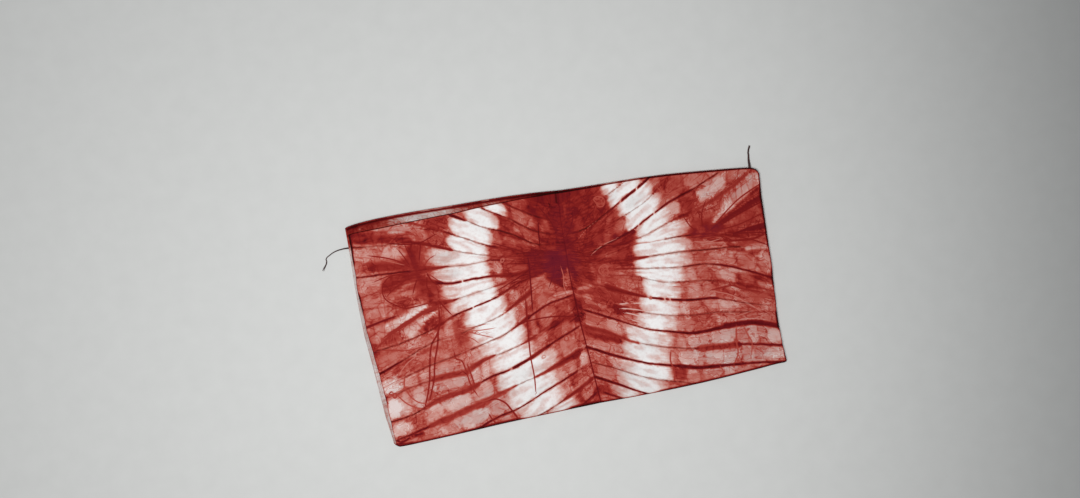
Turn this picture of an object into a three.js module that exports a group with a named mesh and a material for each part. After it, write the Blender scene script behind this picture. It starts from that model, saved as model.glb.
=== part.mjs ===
// A folded length of adire, the tie-dyed cotton cloth of West Africa.
//
// The cloth is folded in half three times towards its front edge, so that one strip runs back and
// forth through eight layers: two raw ends lie at the back of the stack, and four folds nest inside
// each other at the front. Its top layer keeps the soft pleats that the tying left in it.
//
// Millimetres, +Z up. +X runs along the stack's long edges and +Y points to its back edge. The
// origin is on the table, under the middle of the stack.

import * as THREE from "three";

// ---------- driving sizes ----------

const LAYER = 1.0; // one layer of the stack: the cloth's folded width, two plies thick
const GAP = 0.3; // air between two pressed layers
const LEVELS = 8; // layers in the stack; level 1 is the top one
const WIDE_CORNERS = 6; // flat faces that turn a wide fold
const TIGHT_CORNERS = 4; // flat faces that turn a tight fold

const PITCH = LAYER + GAP;
const MIDDLE = (LEVELS + 1) / 2; // the level that the front folds nest around
const FRONT_ROUND = (LEVELS / 2 - 0.5) * PITCH + LAYER / 2; // radius of the stack's front edge

// A table is a list of rows, read by column name. Between its rows a value runs straight.
function table(columns, rows) {
  return rows.map((row) => Object.fromEntries(columns.map((name, i) => [name, row[i]])));
}

function between(rows, key, at, column) {
  const next = rows.findIndex((row) => row[key] >= at);
  if (next < 0) return rows[rows.length - 1][column];
  if (next === 0) return rows[0][column];
  const [a, b] = [rows[next - 1], rows[next]];
  return THREE.MathUtils.mapLinear(at, a[key], b[key], a[column], b[column]);
}

// ---------- the stack's outline and loft ----------

// Sections through the stack, from its left end (along 0) to its right end (along 1): where its back
// and front edges lie, how far the top layer falls short of the back edge, how much air each layer
// gains in mid-panel, and how high its pleats stand. The half-way crease is pressed at along 0.52.
const SECTIONS = table(
  ["along", "back", "front", "short", "air", "crown"],
  [
    [0.0, 154.0, -150.0, 12.5, 0.0, 0.5],
    [0.018, 157.5, -158.5, 13.5, 0.02, 0.6],
    [0.075, 161.0, -161.0, 17.5, 0.07, 0.9],
    [0.12, 160.8, -160.0, 17.5, 0.12, 1.0],
    [0.166, 160.5, -158.6, 17.0, 0.16, 1.0],
    [0.213, 159.8, -157.3, 14.5, 0.19, 1.0],
    [0.26, 159.0, -156.0, 11.5, 0.2, 1.0],
    [0.33, 158.4, -154.8, 8.0, 0.2, 1.0],
    [0.4, 157.2, -154.0, 5.5, 0.16, 0.9],
    [0.46, 155.2, -153.2, 4.0, 0.08, 0.7],
    [0.5, 153.2, -152.8, 3.2, 0.03, 0.45],
    [0.522, 151.8, -152.4, 2.8, 0.0, 0.1],
    [0.545, 151.3, -152.6, 2.5, 0.03, 0.45],
    [0.585, 150.4, -152.8, 2.0, 0.09, 0.75],
    [0.65, 149.4, -152.8, 1.6, 0.16, 1.0],
    [0.715, 148.4, -152.4, 1.5, 0.2, 1.0],
    [0.78, 146.3, -151.4, 1.5, 0.2, 1.0],
    [0.84, 143.2, -149.8, 1.5, 0.16, 1.0],
    [0.89, 140.2, -148.0, 1.4, 0.12, 1.0],
    [0.935, 137.4, -146.4, 1.2, 0.07, 0.9],
    [0.975, 134.4, -144.4, 1.0, 0.03, 0.7],
    [0.992, 129.5, -143.4, 1.0, 0.01, 0.6],
    [1.0, 121.5, -143.0, 0.8, 0.0, 0.5],
  ],
);

// The two ends, from the back edge (across 0) to the front edge (across 1): the top layer's left and
// right ends, and how far the furthest of the layers under it shows past its left end.
const ENDS = table(
  ["across", "left", "peek", "right"],
  [
    [0.0, -287.0, 4.0, 294.0],
    [0.12, -287.0, 4.2, 290.8],
    [0.3, -288.6, 4.8, 289.3],
    [0.5, -286.0, 8.0, 287.0],
    [0.62, -282.0, 9.0, 284.4],
    [0.78, -278.2, 10.0, 281.6],
    [0.9, -277.0, 9.0, 281.6],
    [1.0, -274.5, 9.0, 283.3],
  ],
);

// The strip's turns, from its free end on top to its free end just under that. Each row is an edge
// that the strip reaches: the level it comes in on and the one it leaves on, whether that edge is at
// the back or the front, how far it stops short of that edge, and its share of the left end's peek.
const TURNS = table(
  ["comes", "leaves", "side", "inset", "peek"],
  [
    [null, 1, "back", 0.0, 0.0],
    [1, 8, "front", 0.0, 0.0],
    [8, 5, "back", 1.4, 1.0],
    [5, 4, "front", 0.0, 1.0],
    [4, 3, "back", 0.0, 0.85],
    [3, 6, "front", 0.0, 0.8],
    [6, 7, "back", 1.4 + PITCH, 0.6],
    [7, 2, "front", 0.0, 0.55],
    [2, null, "back", 1.8, 0.35],
  ],
);

// ---------- the pleats of the top layer ----------

// The main valleys that the tying left, back to front. Each row gives how far the pleat in front of
// the valley stands up, and the valley's place across the stack at nine lines along its length. The
// valleys fan out at the ends and meet in chevrons on the crease in the middle.
const LINES = [-286, -205, -140, -70, 7, 70, 140, 210, 284];
const BACK_CROWN = 1.4; // the pleat behind the first valley
const VALLEYS = [
  { crown: 1.9, y: [128, 117, 96, 74, 66, 70, 94, 121, 122] },
  { crown: 2.2, y: [84, 78, 74, 66, 56, 60, 58, 64, 97] },
  { crown: 2.0, y: [52, 48, 52, 48, 42, 41, 37, 31, 40] },
  { crown: 2.3, y: [10, 18, 13, 32, 26, 28, 18, 11, -18] },
  { crown: 1.9, y: [-24, -9, -13, 2, 5, 4, -27, -40, -52] },
  { crown: 2.3, y: [-57, -40, -43, -21, -16, -47, -72, -79, -92] },
  { crown: 2.5, y: [-92, -76, -62, -47, -42, -72, -96, -105, -118] },
  { crown: 2.1, y: [-122, -107, -93, -71, -75, -101, -123, -132, -135] },
  { crown: 1.7, y: [-143, -134, -119, -98, -108, -126, -141, -142, -139] },
];
const VALLEY_SPACE = 4.0; // the least distance between two valleys, where they run together
const VALLEY_WIDTH = 9.0; // from one shoulder of a valley to the other

function valleysAt(x, back, front) {
  const place = THREE.MathUtils.clamp(x, LINES[0], LINES[LINES.length - 1]);
  const right = Math.max(1, LINES.findIndex((line) => line >= place));
  const share = THREE.MathUtils.inverseLerp(LINES[right - 1], LINES[right], place);
  let limit = back;
  return VALLEYS.map(({ crown, y }, i) => {
    const wanted = THREE.MathUtils.lerp(y[right - 1], y[right], share);
    const room = front + (VALLEYS.length - i) * VALLEY_SPACE;
    limit = Math.max(Math.min(wanted, limit - VALLEY_SPACE), room);
    return { crown, y: limit };
  });
}

// ---------- the section: one strip, back and forth ----------

// Air lifts the layers in the middle of the stack and leaves its edges pressed.
function levelHeight(level, section, across) {
  const loft = 4 * across * (1 - across);
  return LAYER / 2 + (LEVELS - level) * (PITCH + section.air * loft);
}

// One point of the strip: its place in the section, the way the strip runs there, and its share of
// the left end's peek.
function stripPoint(y, z, runY, runZ, peek) {
  return { y, z, runY, runZ, peek };
}

// A fold: the strip turns half round from one level to the other, about the line between them.
function foldPoints(turn, y, peek) {
  const middle = (turn.comes + turn.leaves) / 2;
  const radius = (Math.abs(turn.comes - turn.leaves) / 2) * PITCH;
  const corners = radius > 2 * PITCH ? WIDE_CORNERS : TIGHT_CORNERS;
  const outward = turn.side === "back" ? 1 : -1;
  const upward = turn.comes > turn.leaves ? 1 : -1;
  const centre = LAYER / 2 + (LEVELS - middle) * PITCH;
  const points = [];
  for (let i = 0; i <= corners; i++) {
    const angle = (Math.PI * i) / corners;
    points.push(
      stripPoint(
        y + outward * radius * Math.sin(angle),
        centre - upward * radius * Math.cos(angle),
        outward * Math.cos(angle),
        upward * Math.sin(angle),
        peek,
      ),
    );
  }
  return points;
}

// Where the straight part of a layer ends, so that its fold's outer face comes to the stack's edge.
function turnPlace(turn, section) {
  if (turn.side === "front") return section.front + FRONT_ROUND;
  const free = turn.comes === null || turn.leaves === null;
  const radius = free ? 0 : (Math.abs(turn.comes - turn.leaves) / 2) * PITCH + LAYER / 2;
  const short = turn.comes === null ? section.short : turn.inset;
  return section.back - short - radius;
}

// The inner points of a plain layer.
function plainPlaces(back, front) {
  return [0.25, 0.5, 0.75].map((share) => ({ y: THREE.MathUtils.lerp(back, front, share), lift: 0 }));
}

// The inner points of the top layer: each valley between its two shoulders.
function pleatPlaces(x, back, front) {
  const valleys = valleysAt(x, back, front);
  const places = [];
  valleys.forEach(({ crown, y }, i) => {
    const behind = valleys[i - 1] ?? { crown: BACK_CROWN, y: back };
    const ahead = valleys[i + 1] ?? { y: front };
    const backShoulder = Math.min(VALLEY_WIDTH / 2, 0.4 * (behind.y - y));
    const frontShoulder = Math.min(VALLEY_WIDTH / 2, 0.4 * (y - ahead.y));
    places.push({ y: y + backShoulder, lift: behind.crown });
    places.push({ y, lift: 0 });
    places.push({ y: y - frontShoulder, lift: crown });
  });
  return places;
}

function sectionPoints(section) {
  const x = THREE.MathUtils.lerp(ENDS[0].left, ENDS[0].right, section.along);
  const points = [];
  for (let i = 0; i < TURNS.length; i++) {
    const turn = TURNS[i];
    const y = turnPlace(turn, section);
    const free = turn.comes === null || turn.leaves === null;
    const heading = turn.side === "back" ? 1 : -1;
    if (free) {
      const level = turn.comes ?? turn.leaves;
      const run = turn.comes === null ? -heading : heading;
      points.push(stripPoint(y, levelHeight(level, section, 0), run, 0, turn.peek));
    } else {
      points.push(...foldPoints(turn, y, turn.peek));
    }
    if (turn.leaves === null) break;

    const next = TURNS[i + 1];
    const end = turnPlace(next, section);
    const [back, front] = turn.side === "back" ? [y, end] : [end, y];
    const places = turn.leaves === 1 ? pleatPlaces(x, back, front) : plainPlaces(back, front);
    if (turn.side === "front") places.reverse();
    for (const place of places) {
      const across = THREE.MathUtils.inverseLerp(back, front, place.y);
      const share = THREE.MathUtils.inverseLerp(y, end, place.y);
      const height = levelHeight(turn.leaves, section, across) + place.lift * section.crown;
      const peek = THREE.MathUtils.lerp(turn.peek, next.peek, share);
      points.push(stripPoint(place.y, height, -heading, 0, peek));
    }
  }
  return points;
}

// ---------- the solid ----------

// Both faces of the strip are half a layer from its middle line. A face point's X follows the stack's
// two ends, which are neither straight nor square.
function facePoint(point, section, side) {
  const y = point.y + (side * point.runZ * LAYER) / 2;
  const z = point.z - (side * point.runY * LAYER) / 2;
  const across = THREE.MathUtils.clamp(
    THREE.MathUtils.inverseLerp(section.back, section.front, point.y),
    0,
    1,
  );
  const left = between(ENDS, "across", across, "left") - point.peek * between(ENDS, "across", across, "peek");
  const right = between(ENDS, "across", across, "right");
  return [THREE.MathUtils.lerp(left, right, section.along), y, z];
}

// The strip's skin: a ladder of four-sided faces on either side, along its two free ends, and over
// the section at the left and right ends.
function foldedStrip() {
  const sections = SECTIONS.map((section) => ({ section, points: sectionPoints(section) }));
  const count = sections[0].points.length;
  const positions = [];
  for (const { section, points } of sections) {
    for (const side of [1, -1]) {
      for (const point of points) positions.push(...facePoint(point, section, side));
    }
  }
  const corner = (station, side, i) => (station * 2 + side) * count + i;
  const faces = [];
  const addFace = (a, b, c, d) => faces.push(a, b, c, a, c, d);
  const last = sections.length - 1;
  for (let s = 0; s < last; s++) {
    for (let i = 0; i + 1 < count; i++) {
      addFace(corner(s, 0, i), corner(s, 0, i + 1), corner(s + 1, 0, i + 1), corner(s + 1, 0, i));
      addFace(corner(s, 1, i), corner(s + 1, 1, i), corner(s + 1, 1, i + 1), corner(s, 1, i + 1));
    }
    addFace(corner(s, 1, 0), corner(s, 0, 0), corner(s + 1, 0, 0), corner(s + 1, 1, 0));
    const end = count - 1;
    addFace(corner(s, 0, end), corner(s, 1, end), corner(s + 1, 1, end), corner(s + 1, 0, end));
  }
  for (let i = 0; i + 1 < count; i++) {
    addFace(corner(0, 0, i), corner(0, 1, i), corner(0, 1, i + 1), corner(0, 0, i + 1));
    addFace(corner(last, 0, i), corner(last, 0, i + 1), corner(last, 1, i + 1), corner(last, 1, i));
  }
  const geometry = new THREE.BufferGeometry();
  geometry.setAttribute("position", new THREE.Float32BufferAttribute(positions, 3));
  geometry.setIndex(faces);
  geometry.computeVertexNormals();
  return geometry;
}

// ---------- loose thread ends ----------

// Each leaves an edge of the stack, sinks to the table and lies on it.
const THREADS = {
  thread_left: {
    diameter: 1.2,
    route: [
      [-291.8, 127.0, 3.1],
      [-295.2, 127.3, 2.8],
      [-299.0, 127.5, 1.7],
      [-303.0, 127.3, 0.8],
      [-307.5, 126.9, 0.6],
      [-312.0, 126.0, 0.6],
      [-316.5, 124.4, 0.6],
      [-320.6, 122.3, 0.6],
      [-324.4, 120.2, 0.6],
      [-326.6, 117.6, 0.6],
      [-326.4, 114.4, 0.6],
      [-327.6, 111.0, 0.6],
      [-330.0, 107.6, 0.6],
      [-332.2, 104.9, 0.6],
      [-334.0, 102.5, 0.6],
    ],
  },
  thread_right: {
    diameter: 1.8,
    route: [
      [283.2, 133.15, 6.35],
      [283.6, 136.0, 6.1],
      [284.2, 139.4, 4.4],
      [284.9, 143.2, 2.2],
      [285.7, 147.2, 1.0],
      [286.4, 151.2, 0.9],
      [286.8, 155.2, 0.9],
      [288.2, 159.8, 0.9],
      [290.6, 164.4, 0.9],
    ],
  },
};
const THREAD_SIDES = 8;

function threadEnd({ diameter, route }) {
  const circle = new THREE.Shape();
  for (let i = 0; i < THREAD_SIDES; i++) {
    const angle = ((i + 0.5) * 2 * Math.PI) / THREAD_SIDES;
    const place = [(Math.cos(angle) * diameter) / 2, (Math.sin(angle) * diameter) / 2];
    if (i === 0) circle.moveTo(...place);
    else circle.lineTo(...place);
  }
  const path = new THREE.CatmullRomCurve3(route.map((point) => new THREE.Vector3(...point)));
  const steps = Math.round(path.getLength() / (2.5 * diameter));
  return new THREE.ExtrudeGeometry(circle, { steps, extrudePath: path, bevelEnabled: false });
}

// ---------- materials and the scene graph ----------

const dyedCotton = () => new THREE.MeshStandardMaterial({ color: 0xa5443a, roughness: 0.78, metalness: 0 });
const darkThread = () => new THREE.MeshStandardMaterial({ color: 0x4a1f1c, roughness: 0.85, metalness: 0 });

const part = new THREE.Group();

const cloth = new THREE.Mesh(foldedStrip(), dyedCotton());
cloth.name = "cloth";
part.add(cloth);

for (const [name, thread] of Object.entries(THREADS)) {
  const mesh = new THREE.Mesh(threadEnd(thread), darkThread());
  mesh.name = name;
  part.add(mesh);
}

export default part;
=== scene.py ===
# %% [markdown]
# # A folded length of adire
#
# Adire is cotton that is pleated and bound with thread before it goes into the dye. Where the
# binding sat the cloth stays white, and where the pleats pressed together the dye runs dark. This
# one is 1.14 m wide and about 2.4 m long. It is folded once along its length and then three times
# across, so eight double layers lie on the table, with two loose thread ends at the back.
#
# A folded cloth could be a solid block with a picture on it. It is made here the way the real one
# came to be: a flat sheet is cut, folded by a function that carries each of its points to a place
# in the stack, and dyed by fields that follow its own pleats. Then every side looks like cloth.

# %% Load the frame
import math

import bpy
import numpy as np
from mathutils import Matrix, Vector, noise


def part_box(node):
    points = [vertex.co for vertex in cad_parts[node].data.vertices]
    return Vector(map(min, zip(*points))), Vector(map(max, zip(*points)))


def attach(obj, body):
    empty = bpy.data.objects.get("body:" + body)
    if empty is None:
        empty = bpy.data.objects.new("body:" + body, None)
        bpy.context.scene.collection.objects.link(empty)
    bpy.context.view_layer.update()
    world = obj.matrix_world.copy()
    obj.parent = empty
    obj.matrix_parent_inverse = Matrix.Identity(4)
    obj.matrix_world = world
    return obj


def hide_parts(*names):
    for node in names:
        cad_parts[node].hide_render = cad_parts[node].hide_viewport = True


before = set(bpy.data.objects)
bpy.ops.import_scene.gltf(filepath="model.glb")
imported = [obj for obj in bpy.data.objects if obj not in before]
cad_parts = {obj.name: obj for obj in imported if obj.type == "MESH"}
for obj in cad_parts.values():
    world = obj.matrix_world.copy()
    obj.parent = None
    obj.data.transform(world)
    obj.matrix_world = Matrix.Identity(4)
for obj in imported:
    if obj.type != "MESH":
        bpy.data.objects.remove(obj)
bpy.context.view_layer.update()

MM = 0.001  # the tables below are in millimetres, and Blender is in metres
cloth_low, cloth_high = [np.array(corner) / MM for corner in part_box("cloth")]
print("frame:", sorted(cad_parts), "cloth from", cloth_low.round(1), "to", cloth_high.round(1))

# %% [markdown]
# ## Camera
#
# The cloth is looked at from straight above, a little to the left of its middle and behind it, with
# the view turned so that the cloth lies askew. The lens follows from how much table is in view.

# %% Camera
VIEW_HEIGHT = 1.15
VIEW_WIDTH = 1.512  # the width of the table in view, at the height of the cloth's top
VIEW_CENTRE = (-0.0272, 0.0759)
VIEW_TURN = math.radians(-10.7)
CLOTH_TOP = 0.010
SENSOR = 36.0

bpy.ops.object.select_all(action="DESELECT")
bpy.ops.object.camera_add(location=(*VIEW_CENTRE, VIEW_HEIGHT), rotation=(0, 0, VIEW_TURN))
camera = bpy.context.object
camera.data.sensor_width = SENSOR
camera.data.lens = SENSOR * (VIEW_HEIGHT - CLOTH_TOP) / VIEW_WIDTH
bpy.context.scene.camera = camera
print(f"camera: {camera.data.lens:.1f} mm lens, {VIEW_HEIGHT} m up")

# %% [markdown]
# ## Thread ends
#
# Two ends of thread hang out of the back corners and lie on the table: a thin one at the left that
# frays into a wisp, and a thicker tuft at the right. A plain tube could stand for each. Real thread
# is spun from strands, so each end is three strands wound round one route, thinner towards the tip,
# where they come apart.

# %% Routes of the thread ends
THREADS = {
    "thread_left": {
        "diameter": 1.2,
        "tip": 0.45,
        "splay": 1.3,
        "route": [
            (-291.8, 127.0, 3.1), (-295.2, 127.3, 2.8), (-299.0, 127.5, 1.7), (-303.0, 127.3, 0.8),
            (-307.5, 126.9, 0.6), (-312.0, 126.0, 0.6), (-316.5, 124.4, 0.6), (-320.6, 122.3, 0.6),
            (-324.4, 120.2, 0.6), (-326.6, 117.6, 0.6), (-326.4, 114.4, 0.6), (-327.6, 111.0, 0.6),
            (-330.0, 107.6, 0.6), (-332.2, 104.9, 0.6), (-334.0, 102.5, 0.6),
        ],
    },
    "thread_right": {
        "diameter": 2.0,
        "tip": 0.5,
        "splay": 0.6,
        "route": [
            (283.2, 133.15, 6.35), (283.6, 136.0, 6.1), (284.2, 139.4, 4.4), (284.9, 143.2, 2.2),
            (285.7, 147.2, 1.0), (286.4, 151.2, 0.9), (286.8, 155.2, 0.9), (288.2, 159.8, 0.9),
            (290.6, 164.4, 0.9),
        ],
    },
}
STRANDS = 3
STRAND_STEPS = 90
TWIST_PITCH = 3.2  # one turn of the strands
STRAND_RADIUS = 0.52  # this and the next are shares of the thread's thickness
STRAND_AWAY = 0.46  # from the route to the middle of a strand
LOOSE_FROM = 0.62  # the share of the length after which the strands come apart
print(f"routes: {', '.join(THREADS)}")


# %% Two helpers for curves
def smooth_path(points, steps):
    """A smooth curve through the points, as steps + 1 places."""
    p = np.array(points, float)
    p = np.vstack([2 * p[0] - p[1], p, 2 * p[-1] - p[-2]])
    at = np.linspace(0, len(points) - 1, steps + 1)
    i = np.minimum(at.astype(int), len(points) - 2)
    t = (at - i)[:, None]
    a, b, c, d = p[i], p[i + 1], p[i + 2], p[i + 3]
    return 0.5 * (2 * b + (c - a) * t + (2 * a - 5 * b + 4 * c - d) * t**2 + (3 * b - a - 3 * c + d) * t**3)


def smooth_step(low, high, value):
    """0 below low, 1 above high, and a smooth rise between them."""
    t = np.clip((value - low) / (high - low), 0, 1)
    return t * t * (3 - 2 * t)


# %% Wind the strands
def wound_thread(name, diameter, tip, splay, route):
    """A thread end of STRANDS strands round its route, in metres."""
    line = smooth_path(route, STRAND_STEPS)
    steps = np.linalg.norm(np.diff(line, axis=0), axis=1)
    along = np.concatenate([[0], np.cumsum(steps)])
    share = along / along[-1]
    forward = np.gradient(line, axis=0)
    forward /= np.linalg.norm(forward, axis=1)[:, None]
    across = np.cross(forward, (0, 0, 1))
    across /= np.linalg.norm(across, axis=1)[:, None]
    upward = np.cross(across, forward)
    size = diameter * (1 - (1 - tip) * share)
    curve = bpy.data.curves.new(name, "CURVE")
    curve.dimensions = "3D"
    curve.bevel_depth = MM  # so that the radius of each point counts in millimetres
    curve.bevel_resolution = 2
    curve.use_fill_caps = True
    loose = smooth_step(LOOSE_FROM, 1.0, share)
    for strand in range(STRANDS):
        turn = 2 * math.pi * (strand / STRANDS + along * (1 - 0.6 * loose) / TWIST_PITCH)
        away = size * STRAND_AWAY + splay * loose * (0.5 + 0.5 * strand / STRANDS)
        height = np.sin(turn) * away * (1 - 0.8 * loose)
        place = line + across * (np.cos(turn) * away)[:, None] + upward * height[:, None]
        place[:, 2] = np.maximum(place[:, 2], size * STRAND_RADIUS + 0.02)  # on the table, not in it
        spline = curve.splines.new("POLY")
        spline.points.add(STRAND_STEPS)
        for point, xyz, thick in zip(spline.points, place, size):
            point.co = (*(xyz * MM), 1)
            point.radius = thick * STRAND_RADIUS
    piece = bpy.data.objects.new(name, curve)
    bpy.context.collection.objects.link(piece)
    bpy.ops.object.select_all(action="DESELECT")
    piece.select_set(True)
    bpy.context.view_layer.objects.active = piece
    bpy.ops.object.convert(target="MESH")
    piece = bpy.context.object
    bpy.ops.object.shade_smooth()
    return piece, line * MM, along[-1] * MM


threads = {}
for node_name, facts in THREADS.items():
    piece, line, length = wound_thread(node_name + "_end", **facts)
    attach(piece, "root")
    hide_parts(node_name)
    tuple(line[0])
    [tuple(point) for point in line]
    threads[node_name] = piece
    print(f"{piece.name}: {length * 1000:.0f} mm long, {len(piece.data.polygons)} faces")

# %% [markdown]
# ## The outline of the stack
#
# The stack is not a true rectangle: its back edge slants, its left end leans in and one back corner
# is rounded. The edges are given at a few places along and across it, as on a dressmaker's pattern,
# and everything else is worked out from them.

# %% Outline tables
# Along the stack, from its left end (0) to its right end (1): where its back and front edges lie, how
# far the top layer falls short of the back edge, and how much air each layer gains in mid-panel.
ALONG = [0, .005, .018, .04, .075, .12, .166, .213, .26, .33, .4, .46, .5, .522,
         .545, .585, .65, .715, .78, .84, .89, .935, .965, .98, .988, .994, .998, 1]
BACK = [155.6, 156.8, 158, 159.4, 160.4, 160.7, 160.5, 159.8, 159, 158.4, 157.2, 155.2, 153.2, 151.8,
        151.3, 150.4, 149.4, 148.4, 146.3, 143.2, 140.2, 137.4, 135.2, 133.9, 132.6, 130.6, 127.6, 123.6]
FRONT = [-159.4, -160.8, -161, -160.8, -160.2, -159.4, -158.4, -157.3, -156, -154.8, -154, -153.2, -152.8,
         -152.4, -152.6, -152.8, -152.8, -152.4, -151.4, -149.8, -148, -146.4, -145, -144.6, -144.6,
         -144.6, -144.4, -143.8]
SHORT = [10.6, 11, 11.6, 12.8, 13.8, 13.4, 13, 12, 11, 8.6, 7, 5, 3.4, 2.8, 2.5, 2, 1.6, 1.5, 1.5, 1.5,
         1.4, 1.2, 1, 1, 1, 1, 1, .8]
AIR = [0, .01, .02, .04, .07, .12, .16, .19, .2, .2, .16, .08, .03, 0,
       .03, .09, .16, .2, .2, .16, .12, .07, .04, .02, .01, 0, 0, 0]
# Across the stack, from its back edge (0) to its front edge (1): the two ends of the top layer, and
# how far the furthest layer under it shows past its left end.
ACROSS = [0, .12, .3, .5, .62, .78, .9, .97, 1]
LEFT = [-287, -287, -288.6, -286, -282, -278.2, -277, -276, -275]
PEEK = [4, 4.2, 4.8, 6.4, 7, 7.4, 6.6, 4.6, 2.4]
RIGHT = [294, 290.8, 289.3, 287, 284.4, 281.6, 281.6, 282.8, 284]

LAYER = 1.0  # a layer: two plies of cloth and the air between them
PITCH = 1.3  # from one layer to the next
LEVELS = 8  # level 1 is on top
PLY = 0.3  # the cloth's own thickness
PLY_REACH = 0.3  # from a layer's middle to the middle of a ply
FRONT_ROUND = (LEVELS / 2 - 0.5) * PITCH + LAYER / 2

# The turns of the strip, from its free end on top to its free end just under that: the level it comes
# in on and the one it leaves on, at the back (+1) or the front (-1), how far it stops short of that
# edge, and its share of the peek at the left.
TURNS = [
    (None, 1, 1, 0.0, 0.0), (1, 8, -1, 0.0, 0.0), (8, 5, 1, 1.4, 1.0), (5, 4, -1, 0.0, 1.0),
    (4, 3, 1, 0.0, 0.85), (3, 6, -1, 0.0, 0.8), (6, 7, 1, 1.4 + PITCH, 0.6), (7, 2, -1, 0.0, 0.55),
    (2, None, 1, 1.8, 0.35),
]
print(f"outline: {len(ALONG)} places along the stack, {len(ACROSS)} across it, {LEVELS} levels")


def fold_radius(comes, leaves):
    """The radius of a fold between two levels, to the middle of its layer."""
    return abs(comes - leaves) / 2 * PITCH


def turn_place(turn, along):
    """Where the straight part of a layer ends at a turn."""
    comes, leaves, side, inset, _ = turn
    if side < 0:
        return np.interp(along, ALONG, FRONT) + FRONT_ROUND
    free = comes is None or leaves is None
    radius = 0 if free else fold_radius(comes, leaves) + LAYER / 2
    short = np.interp(along, ALONG, SHORT) if comes is None else inset
    return np.interp(along, ALONG, BACK) - short - radius


# %% [markdown]
# ## The pleats
#
# The binding left pleats that run across the cloth from end to end. They fan out at the two ends,
# gather at a knot on each side, and meet in chevrons on the crease where the cloth was folded in half.
# Each pleat line is drawn through a few places, and a smooth curve joins them. From the lines
# comes a number that grows by one from each line to the next: the relief, the dye and the white
# band all follow it.

# %% Pleat lines
# The places of each line across the stack, at seventeen stations from left to right.
STATIONS = [-290, -245, -200, -160, -130, -100, -65, -30, 8, 40, 70, 100, 130, 160, 200, 245, 290]
PLEATS = [
    [252, 238, 222, 205, 190, 168, 147, 124, 108, 117, 129, 143, 160, 180, 205, 230, 250],
    [226, 212, 197, 180, 165, 148, 127, 102, 88, 92, 106, 123, 139, 158, 182, 205, 228],
    [200, 186, 171, 155, 139, 121, 105, 83, 78, 79, 90, 101, 114, 136, 160, 182, 205],
    [172, 160, 146, 127, 111, 95, 83, 74, 67, 58, 66, 76, 91, 106, 119, 138, 158],
    [127, 122, 118, 102, 90, 80, 73, 66, 60, 53, 58, 62, 70, 80, 90, 108, 133],
    [84, 81, 78, 76, 73, 74, 67, 58, 54, 47, 52, 58, 57, 57, 54, 43, 36],
    [55, 60, 64, 52, 52, 51, 46, 50, 48, 41, 40, 38, 37, 36, 32, 28, 21],
    [38, 36, 31, 28, 32, 36, 41, 45, 42, 34, 29, 24, 19, 15, 12, -4, -27],
    [-24, -18, -8, 7, 14, 21, 36, 39, 36, 28, 21, 13, 0, -6, -12, -27, -45],
    [-58, -42, -25, -20, -13, -6, 12, 27, 28, 13, -1, -15, -25, -32, -37, -53, -66],
    [-78, -65, -54, -47, -40, -33, -17, -2, 4, -14, -30, -39, -48, -54, -57, -65, -73],
    [-92, -82, -75, -73, -61, -56, -46, -30, -15, -31, -47, -62, -71, -79, -79, -80, -95],
    [-125, -119, -104, -98, -88, -82, -70, -54, -40, -55, -73, -85, -94, -101, -104, -111, -121],
    [-153, -144, -133, -124, -116, -107, -98, -86, -71, -88, -101, -112, -120, -128, -132, -137, -145],
    [-186, -177, -167, -156, -145, -138, -124, -109, -93, -107, -122, -134, -143, -152, -162, -172, -182],
    [-215, -205, -194, -183, -173, -162, -150, -134, -114, -130, -146, -160, -172, -183, -195, -206, -215],
    [-240, -230, -220, -208, -198, -186, -172, -156, -135, -150, -166, -180, -195, -205, -215, -225, -235],
]
CREASE_X = 8
# The crease in the middle, front to back: it wanders a little off the straight.
CREASE_Y = [-152, -122, -90, -61, -32, -3, 32, 68, 110, 150]
CREASE_LINE = [17, 15, 13, 11, 9, 8, 7, 8, 9, 12]
CREASE_PULL = 60  # how far from the crease the pleats follow its wandering
OUTER_PLEAT = 26  # the width of the pleats beyond the first and the last line
LEAST_PLEAT = 3  # where lines run together
print(f"pleats: {len(PLEATS)} lines, at {len(STATIONS)} stations each")


# %% From the pleat lines to a number
def through(stations, values, at):
    """A smooth curve through given values."""
    stations = np.array(stations, float)
    values = np.array(values, float)
    slope = np.gradient(values, stations)
    i = np.clip(np.searchsorted(stations, at) - 1, 0, len(stations) - 2)
    width = stations[i + 1] - stations[i]
    t = np.clip((at - stations[i]) / width, 0, 1)
    start, end = values[i], values[i + 1]
    bend = (t**3 - 2 * t**2 + t) * slope[i] + (t**3 - t**2) * slope[i + 1]
    return start + (end - start) * t * t * (3 - 2 * t) + bend * width


def ripple(x, y, scale_x, scale_y, seed):
    """Smooth noise between about -1 and 1, stretched by its two scales."""
    return np.array([noise.noise(Vector((a / scale_x, b / scale_y, seed))) for a, b in zip(x, y)])


def from_crease(x, y):
    """How far a place lies to the right of the crease, and the station it stands for."""
    crease = through(CREASE_Y, CREASE_LINE, y)
    pull = np.exp(-(((x - CREASE_X) / CREASE_PULL) ** 2))
    return x - crease, x - (crease - CREASE_X) * pull


def pleat_number(x, y):
    """The pleat number of each place, the distance between the two lines beside it, and its station."""
    _, station = from_crease(x, y)
    half = STATIONS.index(CREASE_X)
    lines = []
    for values in PLEATS:
        left = through(STATIONS[: half + 1], values[: half + 1], station)
        right = through(STATIONS[half:], values[half:], station)
        lines.append(np.where(station < CREASE_X, left, right))
    lines = np.array([lines[0] + OUTER_PLEAT, *lines, lines[-1] - OUTER_PLEAT])
    for i in range(1, len(lines)):
        lines[i] = np.minimum(lines[i], lines[i - 1] - LEAST_PLEAT)
    above = np.clip((lines > y).sum(axis=0) - 1, 0, len(lines) - 2)
    pick = np.arange(len(x))
    upper, lower = lines[above, pick], lines[above + 1, pick]
    number = above - 1 + np.clip((upper - y) / (upper - lower), 0, 1)
    return number, upper - lower, station


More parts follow.
